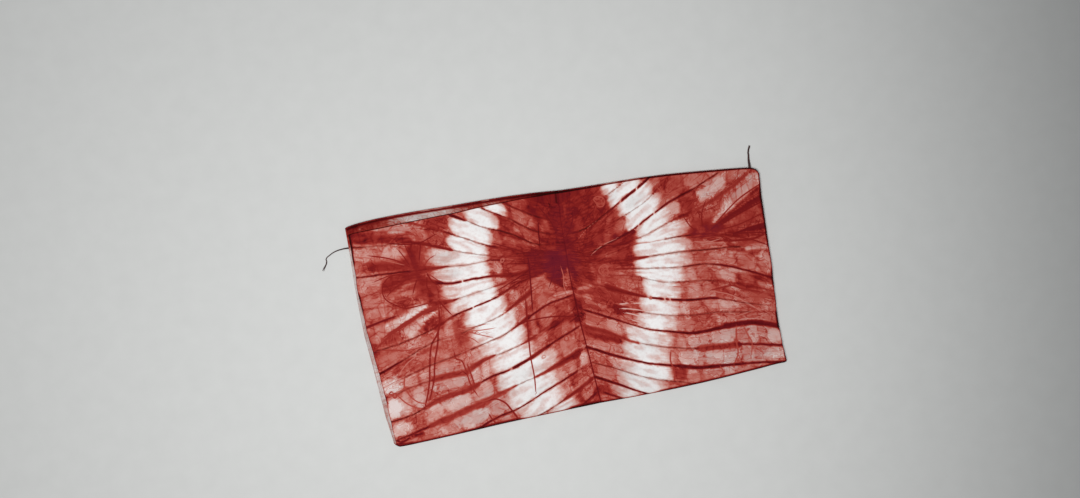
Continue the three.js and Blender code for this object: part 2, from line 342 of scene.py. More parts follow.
# %% [markdown]
# ## Where the cloth stayed white
#
# The binding ran in a ring, which shows as a white band on each side of the crease. Each pleat has its
# own stretch of white with rounded ends, so the band looks scalloped. At the back the dye stopped
# sharply at the thread, and further forward it crept under it and left a pink fringe.

# %% White stretches
# For each pleat, back to front: its white stretch left of the crease and the one right of it, how
# soft the outer end of each is, and how round: 1 would be a half circle.
WHITE = [
    (-60, -60, 70, 100, 1, 1, .7, .6), (-96, -64, 77, 128, 1, 1, .7, .6),
    (-124, -78, 88, 143, 1, 1, .8, .7), (-147, -88, 95, 151, 1, 1.2, 1, .9),
    (-154, -98, 110, 161, 1, 1.6, 1, 1.1), (-186, -99, 106, 178, 5, 3, 1.3, 1.1),
    (-186, -101, 100, 178, 5, 2.4, 1.3, 1.2), (-174, -98, 98, 176, 3, 2.6, 1, 1),
    (-169, -95, 98, 168, 3, 2.4, 1, .8), (-151, -86, 104, 156, 1.2, 2, .7, .7),
    (-146, -77, 95, 151, 1.8, 2.4, .7, .7), (-139, -68, 87, 146, 3.2, 2.8, .8, .5),
    (-128, -60, 66, 132, 2.6, 2.8, .7, .6), (-121, -42, 58, 128, 1.4, 2.8, .5, .6),
    (-112, -36, 52, 122, 1.8, 1.2, .6, .3), (-98, -34, 45, 113, 2.2, 2, .7, .6),
    (-62, -24, 40, 72, 2.4, 1.6, .7, .6), (-40, -24, 40, 50, 1, 1, .7, .6),
]
INNER_ROUND = 0.6  # how round the ends towards the crease are
WIDE_PLEAT = 26  # the ends of wider pleats are no rounder than those of this one
print(f"white: {len(WHITE)} pleats")


# %% How far inside the white
def white_reach(number, gap, station):
    """How far inside a white stretch each place lies, negative outside."""
    pleat = np.clip(np.floor(number).astype(int) + 1, 0, len(WHITE) - 1)
    a, b, c, d, left_soft, right_soft, left_round, right_round = np.array(WHITE, float)[pleat].T
    beside = np.abs(2 * (number % 1) - 1)
    half_circle = np.minimum(gap, WIDE_PLEAT) / 2 * (1 - np.sqrt(np.maximum(1 - beside**2, 0)))
    inner = INNER_ROUND * half_circle
    inner_soft = 1 + 1.2 * smooth_step(8, 13, number)  # softer in the front pleats
    left_outer = (station - a - left_round * half_circle) / left_soft
    left_inner = (b - station - inner) / inner_soft
    right_inner = (station - c - inner) / inner_soft
    right_outer = (d - station - right_round * half_circle) / right_soft
    on_left = np.minimum(left_outer, left_inner)
    on_right = np.minimum(right_inner, right_outer)
    return np.clip(np.where(station < CREASE_X, on_left, on_right), -20, 20)


# %% [markdown]
# ## Pools
#
# Inside a pleat the dye did not lie even. It pooled, and each pool dried from its edge, so that its
# middle stayed pale and its edge went dark. The pools are listed pleat by pleat: from, to, the depth of
# dye in the middle and, where a pool does not fill its pleat, the shares of the pleat it lies between.

# %% Pools of dye
POOLS = {
    -1: [(-66, -34, .52), (12, 18, .62), (150, 172, .6)],
    0: [(-60, -27, .46), (-23, -8, .5), (22, 40, .74), (134, 166, .58), (180, 205, .56)],
    1: [(-62, -22, .42, .1, .8), (14, 26, .76), (141, 158, .52), (160, 176, .56), (196, 245, .5)],
    2: [(-90, -77, .46), (-76, -57, .44, .1, .9), (-62, -34, .46, .1, .6), (-20, -6, .7), (46, 62, .66),
        (62, 80, .6), (78, 97, .5), (141, 160, .56), (160, 186, .6), (186, 222, .5, .2, .9),
        (-200, -178, .5), (-234, -198, .4), (225, 262, .5)],
    3: [(-176, -158, .68), (-206, -178, .54), (-258, -196, .4, .02, .5), (-272, -256, .6, .1, .5),
        (-90, -66, .62), (46, 88, .62, .1, .7), (148, 177, .3, .1, .85), (178, 200, .66),
        (203, 246, .3, .25, .9), (248, 286, .44, .2, .9)],
    4: [(-252, -243, .36, .2, .44), (-242, -232, .42, .24, .5), (-231, -222, .44, .24, .55),
        (-221, -212, .46, .3, .6), (-286, -252, .42, .08, .46), (-262, -222, .44, .3, .66),
        (-242, -219, .4, .2, .5), (-196, -184, .7), (-100, -84, .5), (-82, -50, .5, .1, .7),
        (62, 96, .66), (158, 187, .3, .1, .9), (190, 198, .58, .1, .5), (200, 215, .62)],
    5: [(190, 228, .42, .1, .8), (236, 262, .5, .2, .8), (-286, -253, .44), (-252, -240, .52, .0, .5),
        (-96, -82, .44), (-78, -48, .56, .2, .95), (66, 96, .72), (172, 183, .36),
        (184, 198, .58, .2, .9), (246, 288, .66)],
    6: [(-286, -262, .42, .05, .95), (-258, -232, .6, .1, .5), (-232, -208, .44, .3, .6),
        (-210, -192, .56, .55, .9), (-188, -178, .6), (-97, -80, .38), (46, 70, .5, .1, .9),
        (168, 180, .44), (204, 240, .4, .1, .7), (186, 198, .6), (240, 266, .5, .2, .9),
        (270, 288, .4, .1, .9)],
    7: [(-286, -264, .42, .02, .3), (-286, -268, .44, .62, .86), (-176, -162, .5, .5, 1),
        (-90, -76, .38, .3, 1), (-72, -60, .56), (50, 66, .6), (168, 182, .38), (184, 200, .46),
        (206, 238, .36, .3, .95), (240, 262, .56), (262, 286, .4, .4, .95)],
    8: [(-284, -262, .5, .1, .6), (-262, -236, .5, .3, .9), (-232, -214, .38, .2, .6),
        (-214, -182, .46, .2, .9), (-182, -164, .4), (-84, -66, .36, .2, .9), (-52, -28, .46, .05, .5),
        (40, 58, .58), (163, 186, .36), (186, 204, .42), (208, 238, .36, .1, .45),
        (238, 280, .56, .3, .9)],
    9: [(-280, -262, .36, .2, .6), (-276, -258, .18, .62, .98), (-256, -236, .46, .5, .9),
        (-196, -180, .42, .4, .95), (-180, -160, .44), (-78, -62, .4), (-48, -30, .5, .3, .95),
        (-30, -16, .52, .1, .6), (150, 165, .26), (166, 181, .4), (182, 201, .44),
        (206, 236, .35, .1, .7), (262, 286, .48)],
    10: [(-276, -254, .2, .2, .95), (-250, -228, .36), (-227, -212, .4), (-198, -170, .4, .1, .62),
         (-168, -150, .42), (-150, -137, .34), (-62, -50, .44), (-48, -22, .5), (-20, -4, .66),
         (14, 40, .66), (40, 62, .6), (144, 152, .4), (152, 166, .4), (167, 184, .5),
         (195, 226, .37, .2, .8), (232, 256, .54, .1, .7), (258, 284, .48)],
    11: [(-279, -261, .07, .1, .95), (-258, -243, .3), (-240, -221, .28), (-211, -164, .38, .1, .72),
         (-156, -140, .3), (-140, -126, .22), (-62, -38, .4, .1, .8), (-32, -4, .52, .2, .9),
         (14, 44, .5), (40, 66, .38), (136, 149, .44), (150, 181, .32), (182, 220, .29), (222, 236, .46),
         (237, 252, .34), (262, 284, .3, .1, .8)],
    12: [(-278, -252, .16, .1, .9), (-242, -232, .56), (-231, -200, .28, .1, .8),
         (-198, -158, .25, .1, .85), (-156, -125, .34), (-60, -32, .22, .1, .8), (-30, -2, .46),
         (12, 58, .5, .4, .98), (136, 171, .33, .1, .95), (172, 217, .29, .3, .95), (222, 241, .38),
         (242, 252, .52), (256, 284, .27, .1, .8)],
    13: [(-268, -240, .4, .1, .6), (-236, -218, .5), (-216, -180, .36, .2, .9),
         (-180, -139, .24, .15, .9), (-138, -109, .4), (-40, -10, .44), (-7, 7, .34), (13, 34, .44),
         (34, 58, .33), (126, 138, .64), (140, 161, .36), (162, 209, .42), (210, 222, .52),
         (223, 240, .5), (241, 282, .52)],
    14: [(-158, -130, .5, .1, .7), (-128, -104, .48), (-34, -22, .4), (-20, 2, .56), (12, 38, .46),
         (38, 52, .38), (113, 134, .44, .1, .9), (134, 160, .56)],
    15: [(-96, -60, .5), (-18, 4, .44), (16, 26, .7), (26, 48, .4), (100, 130, .5)],
    16: [(-10, 6, .6), (18, 40, .5)],
}
POOL_EDGE = 0.03  # a pool keeps this share of its pleat's width clear on either side
POOL_ROUND = 0.9  # how round the corners of a pool are
NO_POOL = -6
BASE_POOL = 0.5  # the depth of dye that stands where there is no pool, and does not show
print(f"pools: {sum(len(pools) for pools in POOLS.values())}")


# %% How far inside a pool
def pool_fields(number, gap, station):
    """How far inside its pool each place lies, negative outside, and that pool's depth of dye."""
    inside = np.full(len(number), -20.0)  # far from any pool
    depth = np.full(len(number), BASE_POOL)
    pleat = np.floor(number).astype(int)
    for pleat_index, pools in POOLS.items():
        near = np.nonzero(np.abs(number - pleat_index - 0.5) < 0.75)[0]  # in this pleat or close by
        across = number[near] - pleat_index
        for start, end, dye, *between in pools:
            upper, lower = between or (POOL_EDGE, 1 - POOL_EDGE)
            half_long = (end - start) / 2
            half_wide = (lower - upper) / 2 * gap[near]
            corner_size = POOL_ROUND * np.minimum(half_long, half_wide)
            along = np.abs(station[near] - (start + end) / 2) - half_long + corner_size
            beside = np.abs(across - (upper + lower) / 2) * gap[near] - half_wide + corner_size
            corner = np.hypot(np.maximum(along, 0), np.maximum(beside, 0))
            depth_in = corner_size - corner - np.minimum(np.maximum(along, beside), 0)
            next_pleat = pleat[near] != pleat_index  # a pool does not reach over its pleat line
            depth_in[next_pleat] = np.minimum(depth_in[next_pleat], -0.5)
            closer = depth_in > inside[near]
            on = near[closer]
            inside[on] = depth_in[closer]
            depth[on] = dye
    return np.clip(inside, NO_POOL, 12), depth


# %% [markdown]
# ## Where a pleat line is dark
#
# A pleat line is a hair line where the cloth was bound tight, and widens to a dark wedge where dye ran
# along it. Each row here is a stretch of one line: from, to, its width at either end, how strongly it
# shows and, for a wedge, its depth of dye. A few lines break off where the binding thread crossed them.

# %% Dark stretches of the pleat lines
HAIR_WIDTH = 0.7  # the width, strength and depth of dye of a line that has no row of its own
HAIR_INK = 0.36
HAIR_DYE = 0.92
ACCENTS = {
    0: [(-72, -20, 1, 1.1, .6), (80, 100, .8, .8, .6)],
    1: [(-97, -72, 1.6, 2.2, .85), (-62, -20, 1.1, 1.3, .75), (32, 93, 1.2, 2.4, .95, 1.04),
        (95, 150, 4.4, 3.6, 1, 1.16)],
    2: [(-142, -124, 5, 3, 1), (-126, -95, 1.4, 1.2, .7), (-96, -25, 1.3, 1.8, .9), (88, 142, .9, .9, .6)],
    3: [(-215, -152, 4, 3, .7, .76), (-152, -104, 1.4, 1.2, .8), (-105, -88, 1.6, 2.6, .9),
        (42, 113, 1.4, 2.4, .95, 1.04), (113, 152, 2.6, 2.2, 1), (150, 190, 2.6, 2.6, 1),
        (188, 236, 2, 1.6, .9)],
    4: [(-288, -262, 1.8, 1.2, .8), (-262, -215, 1, 1, .5), (-214, -150, 3, 3.6, .9, .92),
        (-152, -98, 1, 1, .65), (108, 162, .9, .9, .6), (163, 190, 2, 4, .8, .8),
        (195, 276, 4, 6, .85, .72)],
    5: [(-288, -212, 1.8, 2.4, .95), (-196, -158, 9, 1.5, 1, .78), (-160, -98, 1.1, 1.1, .6),
        (-100, -82, 1.5, 4, .8), (148, 188, 1.4, 1.8, .95), (186, 250, 2, 2.4, .75, .9)],
    6: [(-192, -172, 9, 4, 1, .8), (-176, -142, 2.6, 2.8, 1), (-139, -102, 2.6, 2.6, 1),
        (-103, -48, 3, 8, .85, .86), (92, 119, 7, 2.4, .9, .88), (118, 182, 1.3, 1.3, .8),
        (180, 248, 1.6, 1.8, .95)],
    7: [(-178, -152, 7, 1.6, .9, .72), (-156, -97, .9, .9, .5), (-98, -52, 2, 6, .8, .8),
        (72, 104, 2.4, 1.4, .85, .9), (100, 168, 1.1, 1.1, .7), (166, 215, 1.6, 2, .9),
        (213, 290, 2.4, 3.2, .95, 1.08)],
    8: [(-284, -190, 1.4, 1.4, .75), (-192, -158, 2.4, 2.4, .85, .9), (-162, -95, 2.2, 2.2, 1),
        (-97, -55, 1.8, 4, .9, .92), (104, 205, 1, 1.2, .55)],
    9: [(-286, -246, 3.6, 2.2, 1, 1.14), (-246, -190, 1.4, 1.4, .7), (-155, -92, 1.1, 1.1, .6),
        (-94, -52, 2, 8, .9, .84), (55, 104, 9, 3, .95, .9), (110, 204, 3, 2.8, 1),
        (202, 262, 1.8, 1.6, .7)],
    10: [(-245, -165, 1.2, 1.2, .6), (-148, -84, 1.4, 1.4, .8), (-86, -60, 2, 6, .95, .86),
         (-62, 2, 2.6, 2.2, .85), (78, 245, 1.1, 1.3, .6)],
    11: [(-262, -208, 1, 1, .5), (-206, -158, 7, 9, .75, .7), (-152, -116, 9, 2, .85, .8),
         (-118, -74, 1.2, 1.2, .7), (-76, -58, 2, 5, .85, .8), (18, 62, 2.6, 2.8, .95),
         (60, 102, 2.4, 1.6, .9), (100, 150, 2, 3, 1), (148, 215, 3.4, 5, 1, 1.14),
         (210, 292, 6.6, 7.4, 1, 1.08)],
    12: [(-284, -228, 1.8, 1.6, 1), (-224, -146, 6, 7, .8, .78), (-140, -99, 2.2, 2.8, 1),
         (-97, -67, 4, 4.4, 1), (-69, -42, 6, 4, .95, .9), (-44, 4, 2.4, 2.4, .9),
         (10, 84, 6, 3.2, .8, .76), (84, 167, 1.2, 1.2, .7), (168, 222, 9, 8, .7, .68),
         (222, 292, 2.4, 2.6, .8)],
    13: [(-272, -222, 2, 3, .9), (-224, -150, 6, 9, .75, .76), (-154, -96, 11, 2.5, .8, .74),
         (-98, -64, 1.1, 1.1, .6), (-66, -4, 3, 10, .85, .84), (8, 62, 4, 3.6, 1), (60, 142, 2.6, 3, 1),
         (134, 190, 5.4, 4.4, 1, 1.14), (188, 224, 3.6, 3, 1), (220, 292, 2.6, 2.4, .95)],
    14: [(-166, -118, 3.4, 2.4, 1, 1.08), (-120, -78, 2, 2, .95), (-80, -14, 2, 2.6, .9),
         (14, 158, 1.3, 1.2, .7)],
    15: [(-74, -34, 1.6, 1.8, .85), (-36, 4, 4, 6, .9, .86), (10, 62, 4, 3, 1, 1.14),
         (60, 88, 2.4, 2.2, .95)],
    16: [(-12, 4, 2, 3, .8), (18, 44, 3, 2, .85)],
}
ACCENT_FADE = 5  # a stretch begins and ends over this length
BREAKS = {1: [95, 121], 3: [115, 139], 6: [-142], 8: [-134], 9: [-92, 111, 131, 138], 12: [-98, 86]}
BREAK_WIDTH = 1.7
print(f"dark stretches: {sum(len(stretches) for stretches in ACCENTS.values())}")


# %% How dark a pleat line is
def line_ink(number, station):
    """The width, the strength and the dye of the pleat line nearest each place."""
    nearest = np.rint(number).astype(int)
    width = np.full(len(number), HAIR_WIDTH)
    ink = np.full(len(number), HAIR_INK)
    depth = np.full(len(number), HAIR_DYE)
    for line, stretches in ACCENTS.items():
        on = nearest == line
        at = station[on]
        for start, end, from_width, to_width, strength, *own_depth in stretches:
            share = smooth_step(start - ACCENT_FADE, start, at)
            share *= 1 - smooth_step(end, end + ACCENT_FADE, at)
            across = np.interp(at, (start, end), (from_width, to_width))
            width[on] = np.maximum(width[on], share * across)
            ink[on] = np.maximum(ink[on], share * strength)
            deep = own_depth[0] if own_depth else 0.98 + 0.16 * smooth_step(0.9, 2.4, across)
            depth[on] += (deep - depth[on]) * share
        for gap_at in BREAKS.get(line, ()):
            ink[on] *= 1 - np.exp(-(((at - gap_at) / BREAK_WIDTH) ** 2))
    return width, ink, depth


# %% [markdown]
# ## How much dye the rest took
#
# Outside the white band the cloth goes from pale pink to a purple red. Patches are dabbed on one by one
# as a dyer's sponge would: each is an oval with a place, a size, a turn in degrees and the depth of
# dye at its middle, from 0, white, to 1, a deep red. Later dabs lie over earlier ones. Noise could make
# such patches by itself, but it could not put them where this cloth has them.

# %% Patches of dye
BASE_DYE = 0.54
PATCHES = [
    # the middle: dark red between the two bands, and purple where the cloth was tied
    (-5, 100, 95, 62, 0, .80), (5, 135, 62, 24, 0, .86), (-20, 55, 44, 26, 0, .88),
    (-12, 48, 18, 20, 0, 1), (30, 62, 34, 18, 15, .86), (22, 25, 18, 20, 0, .82), (90, 42, 16, 22, 0, .8),
    (75, 70, 30, 8, 12, .84), (-75, 60, 16, 14, 0, .66), (-84, 88, 12, 9, 0, .64),
    (-60, 88, 24, 8, -30, .62), (-52, 122, 18, 9, -35, .62), (-72, 50, 24, 9, -8, .78),
    (-30, 138, 30, 8, -10, .84), (66, 125, 14, 11, 0, .68), (64, 108, 26, 8, 25, .86),
    (52, 82, 34, 9, 22, .78), (-38, 25, 24, 12, 0, .56), (-35, 12, 20, 9, 20, .58),
    (-66, 18, 10, 18, 0, .6), (-66, -2, 8, 14, 0, .6), (56, 34, 18, 13, 0, .66),
    (40, 8, 32, 20, -20, .68), (88, 22, 14, 6, -30, .56), (60, -12, 28, 12, -25, .7),
    (64, -28, 20, 7, -15, .82), (94, -40, 8, 12, 0, .72), (3, 25, 5, 14, 0, .56), (-2, 6, 9, 7, 0, .52),
    (10, 0, 12, 26, 0, .82), (-24, -10, 34, 9, 14, .66), (-28, -30, 38, 9, 4, .86),
    (-26, -46, 26, 8, 16, .66), (-22, -68, 30, 7, 12, .52), (-10, -82, 28, 8, 18, .84),
    (-22, -96, 22, 7, 22, .56), (-14, -116, 20, 8, 20, .66), (0, -140, 18, 14, 0, .84),
    (-24, -148, 14, 5, 0, .5), (34, -36, 30, 8, -28, .66), (52, -46, 24, 6, -28, .52),
    (44, -62, 36, 9, -24, .86), (38, -74, 34, 7, -20, .52), (62, -84, 10, 8, 0, .5),
    (34, -95, 34, 8, -24, .6), (26, -108, 18, 7, -26, .58), (52, -112, 12, 7, -20, .42),
    (24, -134, 14, 7, -20, .8), (22, -146, 16, 5, 0, .5), (58, -147, 16, 5, 0, .36),
    (-22, 0, 16, 7, 0, .5),
    # the left end: its knot, the pale pleats that leave it and the whiter corner
    (-225, 112, 62, 20, -8, .50), (-262, 136, 34, 9, -6, .86), (-222, 133, 34, 9, -10, .62),
    (-216, 139, 20, 6, -4, .34), (-190, 126, 22, 9, -14, .5), (-165, 136, 20, 14, 0, .76),
    (-170, 112, 18, 14, 0, .76), (-272, 112, 22, 10, -8, .40), (-238, 110, 18, 8, -14, .42),
    (-240, 92, 40, 9, -6, .76), (-198, 80, 30, 24, 0, .84), (-270, 70, 22, 16, 0, .46),
    (-236, 64, 22, 12, 20, .76), (-228, 47, 20, 6, 6, .44), (-215, 60, 16, 7, -10, .56),
    (-262, 42, 18, 14, 0, .46), (-188, 42, 18, 18, 0, .78), (-225, 34, 14, 6, -24, .66),
    (-222, 19, 36, 8, 24, .28), (-213, 4, 38, 6, 26, .36), (-272, 3, 16, 10, 0, .46),
    (-285, -20, 12, 16, 0, .8), (-236, -8, 40, 6, 14, .5), (-172, 14, 10, 8, 0, .6),
    (-186, 0, 12, 12, 0, .76), (-222, -24, 34, 7, -4, .44), (-172, -14, 18, 8, 10, .44),
    (-158, -20, 8, 20, 0, .66), (-262, -38, 22, 10, 14, .5), (-205, -40, 30, 7, 12, .5),
    (-166, -36, 18, 9, 6, .54), (-238, -52, 20, 6, 16, .56), (-196, -62, 46, 9, 4, .46),
    (-150, -56, 16, 8, 0, .36), (-184, -86, 34, 8, 4, .42), (-142, -76, 14, 8, 0, .46),
    (-246, -70, 26, 10, 4, .46), (-268, -74, 18, 12, 0, .14), (-264, -104, 20, 13, 0, .10),
    (-236, -96, 18, 10, 0, .42), (-190, -114, 38, 7, 8, .27), (-140, -104, 14, 10, 6, .40),
    (-232, -126, 22, 9, 6, .5), (-262, -136, 18, 9, 10, .16), (-240, -132, 9, 12, 0, .6),
    (-200, -126, 26, 6, 8, .46), (-160, -138, 40, 8, 8, .30), (-124, -128, 16, 10, 0, .58),
    (-218, -150, 34, 7, 4, .5), (-112, -148, 14, 8, 0, .52), (-262, -150, 18, 6, 8, .46),
    (-104, -116, 22, 6, 12, .56), (-86, -120, 22, 7, 14, .2), (-100, -96, 16, 8, 10, .2),
    (-80, -138, 30, 7, 10, .2), (-50, -84, 20, 7, 12, .2),
    # the right end: its knot, the pale pleats that fan out of it and the long pink ones
    (170, 128, 26, 13, 0, .74), (205, 128, 18, 8, 14, .5), (190, 104, 22, 9, 12, .72),
    (168, 96, 12, 8, 20, .5), (178, 72, 10, 10, 0, .5), (192, 78, 16, 12, 0, .66),
    (200, 92, 14, 6, 8, .6), (210, 57, 32, 17, 0, .92), (232, 118, 34, 9, 26, .36),
    (262, 122, 22, 8, 22, .52), (250, 92, 44, 8, 36, .33), (278, 112, 16, 12, 20, .42),
    (272, 78, 26, 9, 26, .62), (260, 62, 36, 8, 12, .62), (262, 46, 34, 7, 0, .7),
    (250, 34, 44, 7, -6, .74), (182, 44, 10, 7, 0, .5), (215, 40, 22, 4, -6, .52),
    (215, 26, 24, 4, -4, .54), (244, 23, 12, 4, 0, .42), (276, 22, 14, 7, 0, .40),
    (222, 12, 20, 5, -18, .38), (262, 10, 26, 12, 0, .68), (186, 4, 16, 8, 0, .52),
    (228, -4, 22, 4, -6, .34), (264, -2, 9, 10, 0, .42), (280, -6, 8, 10, 0, .44),
    (178, -22, 22, 8, -4, .5), (214, -18, 26, 5, 4, .52), (256, -24, 34, 10, -14, .78),
    (160, -40, 12, 12, 0, .42), (186, -48, 20, 9, 0, .5), (222, -48, 26, 6, -14, .40),
    (200, -66, 40, 8, 0, .56), (158, -66, 12, 9, 0, .48), (250, -66, 22, 7, 10, .6),
    (270, -58, 12, 14, 0, .44), (190, -92, 44, 8, -2, .35), (146, -88, 9, 9, 0, .56),
    (245, -96, 24, 8, 0, .44), (272, -106, 12, 9, 0, .26), (182, -116, 46, 8, -4, .34),
    (146, -112, 14, 8, 0, .4), (134, -126, 12, 10, 0, .7), (240, -122, 18, 8, 0, .5),
    (268, -128, 18, 8, 0, .24), (180, -142, 54, 7, 2, .44), (240, -143, 26, 5, 2, .5),
    (124, -142, 12, 8, 0, .56),
    # the back strip of the layer under the top one, which shows behind it
    (-262, 155, 52, 7, 0, .84), (-262, 150, 10, 5, 0, .5), (-225, 153, 14, 5, 0, .6),
    (-176, 155, 44, 8, 0, .05), (-100, 153, 40, 7, 0, .62), (-45, 152, 40, 7, 0, .84),
]
print(f"patches: {len(PATCHES)}")

# %% Strokes of dye
# Most strokes fan out of the three knots: from a place and width to another, and the depth of dye.
STROKES = [
    # out of the left knot
    (-288, 141, 12, -204, 121, 9, .85), (-258, 96, 9, -206, 84, 12, .78), (-246, 71, 9, -202, 74, 14, .8),
    (-248, 60, 3, -206, 68, 8, .74), (-232, 52, 3, -198, 58, 8, .68), (-192, 64, 12, -187, 30, 12, .74),
    (-188, 26, 12, -203, -4, 8, .76), (-172, 30, 8, -166, 6, 5, .66), (-196, 86, 14, -176, 112, 10, .74),
    (-208, 84, 8, -206, 116, 6, .68), (-236, 44, 8, -204, 38, 6, .6), (-195, 29, 2, -254, 8, 14, .2),
    (-197, 26, 3, -236, 14, 10, .12), (-189, 17, 3, -228, -6, 15, .24), (-192, 26, 4, -258, -4, 5, .62),
    (-284, -20, 2, -246, -8, 6, .6), (-286, 12, 3, -246, 20, 2, .72), (-290, 30, 8, -262, 24, 6, .5),
    (-238, 30, 4, -262, 26, 9, .42),
    # out of the right knot
    (212, 58, 8, 292, 91, 8, .84), (222, 68, 2, 292, 106, 4, .78), (214, 55, 12, 256, 43, 7, .8),
    (262, 49, 4, 292, 50, 9, .88), (206, 50, 12, 250, 33, 7, .76), (196, 66, 10, 180, 108, 12, .72),
    (182, 112, 14, 214, 118, 5, .76), (200, 60, 10, 184, 44, 8, .68), (219, 68, 4, 252, 96, 17, .3),
    (248, 94, 14, 286, 116, 16, .44), (232, 62, 2, 286, 78, 12, .62), (206, 92, 14, 232, 100, 5, .6),
    (222, 50, 3, 270, 62, 10, .66),
    # out of the middle knot, and touches all over that lie on top of those above
    (-47, 32, 7, -27, 38, 8, .46), (-28, 34, 9, -19, 20, 9, .48), (-46, 20, 9, -26, 18, 8, .52),
    (12, 10, 5, 34, 12, 7, .5), (44, 14, 12, 66, 22, 12, .58), (76, 24, 3, 97, 3, 9, .5),
    (68, 88, 5, 80, 108, 9, .62), (10, 4, 6, 30, -4, 10, .54), (-46, 97, 3, -31, 81, 4, .62),
    (-34, 66, 4, -44, 52, 8, .8), (-202, 88, 26, -194, 110, 22, .74), (-252, 66, 6, -216, 72, 11, .8),
    (-246, 49, 5, -214, 62, 4, .48), (-100, 54, 5, -46, 48, 11, .82), (-96, 24, 3, -48, 39, 8, .82),
    (-40, 78, 3, -96, 100, 4, .66), (-34, 80, 4, -84, 114, 3, .8), (-24, 84, 4, -60, 128, 5, .72),
    (-14, 90, 5, -44, 140, 7, .76), (2, 144, 14, 2, 70, 14, .86), (30, 134, 22, 18, 84, 20, .84),
    (99, 66, 12, 38, 55, 8, .84), (100, 36, 12, 34, 48, 6, .82), (80, 110, 8, 40, 98, 7, .82),
    (28, 44, 12, 36, 20, 6, .78), (8, -2, 4, 10, -28, 18, .9), (-34, 62, 16, -10, 46, 20, .94),
    (-20, 36, 16, -4, 20, 8, .92), (10, 60, 10, 14, 30, 10, .9), (-18, 8, 5, 5, 9, 6, .36),
    (-2, 31, 3, -2, 16, 5, .5), (4, 46, 2, 5, 38, 3, .5), (-208, 110, 8, -196, 62, 12, .84),
    (-276, -157, 5, -236, -147, 4, .92), (-150, 118, 8, -138, 106, 6, .78), (172, 84, 5, 184, 85, 6, .95),
    (188, 88, 6, 191, 102, 8, .86), (58, 72, 5, 104, 77, 10, .98), (219, 68, 3, 258, 97, 17, .27),
    (258, 97, 17, 288, 118, 16, .36), (234, 73, 2, 290, 98, 3, .6), (222, 65, 3, 290, 103, 3, .82),
    (204, 112, 6, 240, 119, 16, .34), (240, 119, 14, 262, 126, 8, .5), (196, 96, 6, 262, 122, 5, .66),
    (-12, 96, 6, -30, 136, 8, .96), (30, 120, 12, 44, 90, 12, .9), (200, 46, 3, 228, 36, 8, .44),
    (204, 38, 3, 236, 24, 6, .42), (232, 26, 5, 252, 22, 5, .7), (184, 20, 4, 226, 18, 7, .5),
    (258, 24, 8, 286, 22, 9, .36), (266, 8, 8, 288, 4, 8, .42), (214, 4, 4, 250, -8, 8, .36),
    # the chevrons in front of it
    (14, -45, 9, 46, -58, 12, .74), (46, -58, 11, 86, -80, 3, .76), (-70, -24, 4, -8, -22, 12, .76),
    (-66, -38, 6, -36, -30, 8, .7), (-70, -46, 3, -44, -44, 5, .62),
    # the left end in front of its knot
    (-268, -33, 8, -214, -24, 6, .44), (-232, -25, 6, -218, -24, 7, .32),
    (-268, -44, 9, -240, -38, 5, .5), (-258, -50, 4, -206, -33, 5, .66),
    (-262, -64, 6, -210, -42, 7, .42), (-202, -41, 8, -180, -45, 9, .4),
    (-244, -66, 3, -206, -54, 3, .56), (-168, -4, 6, -160, -34, 7, .62),
    (-208, -76, 8, -160, -74, 7, .72),
    # the right end in front of its knot
    (262, 82, 3, 292, 91, 7, .98), (266, 49, 5, 292, 49, 7, 1.02), (212, -13, 3, 246, -22, 6, .7),
    (240, -14, 8, 288, -24, 8, .8), (176, -104, 7, 220, -107, 7, .76), (206, -75, 5, 288, -86, 9, .86),
]
print(f"strokes: {len(STROKES)}")

# %% Purple, grey and smooth places
# The dye turned purple where it lay thickest. Some places are greyed, partly for wear and partly as
# painted shade. In others, most of them round the knots, the cloth was pulled flat and the dye lies
# smooth. Each is an oval again, and its last number says how much.
LEAST_GREY = 0.2
LEAST_CALM = 0.12
PURPLE = [(-8, 50, 24, 26, 0, 1), (-36, 56, 14, 22, 0, .35), (12, 46, 14, 24, 0, .7),
          (208, 57, 24, 10, 0, .9), (12, 100, 18, 40, 0, .25), (-202, 82, 18, 22, 0, .25),
          (74, 76, 26, 8, 15, .5)]
GREY_OF_WEAR_AND_SHADE = [(-160, 88, 26, 10, 0, .8), (-162, 64, 24, 9, 0, .7), (-148, 104, 12, 8, 0, .4),
        (-100, 132, 30, 12, -25, .3), (115, 118, 20, 8, 28, .8), (86, 130, 12, 8, 28, .7),
        (262, 112, 34, 16, 30, .9), (225, 116, 26, 12, 20, .8), (-140, -130, 60, 30, 8, .9),
        (-90, -110, 50, 40, 12, .8), (-190, -90, 60, 30, 8, .8), (-262, -90, 18, 40, 0, .6),
        (60, -130, 60, 30, -10, .8), (80, -80, 40, 24, -15, .6), (220, -110, 80, 40, 0, .9),
        (-230, 10, 40, 12, 24, .5), (-215, 140, 40, 8, -8, .7), (20, -148, 40, 8, 0, .9),
        (-60, -150, 60, 8, 4, .9)]
CALM = [(-198, 76, 32, 34, 0, .85), (-232, 90, 34, 12, -10, .7), (208, 60, 36, 20, 0, .8),
        (-14, 52, 44, 34, 0, .3), (50, 112, 56, 50, 0, .25), (-40, 112, 46, 40, 0, .3),
        (-188, -36, 44, 24, 0, .55), (-202, -76, 26, 10, 0, .6), (-225, 60, 36, 18, 0, .6),
        (62, 60, 40, 30, 0, .3), (30, -55, 34, 12, -20, .6), (252, 70, 44, 20, 14, .5),
        (-38, 22, 22, 20, 0, .5), (56, 8, 48, 28, -20, .45), (-256, -35, 30, 18, 0, .6),
        (-160, -28, 16, 26, 0, .6), (80, -32, 20, 20, 0, .4)]
print(f"ovals: {len(PURPLE)} purple, {len(GREY_OF_WEAR_AND_SHADE)} grey and {len(CALM)} smooth")


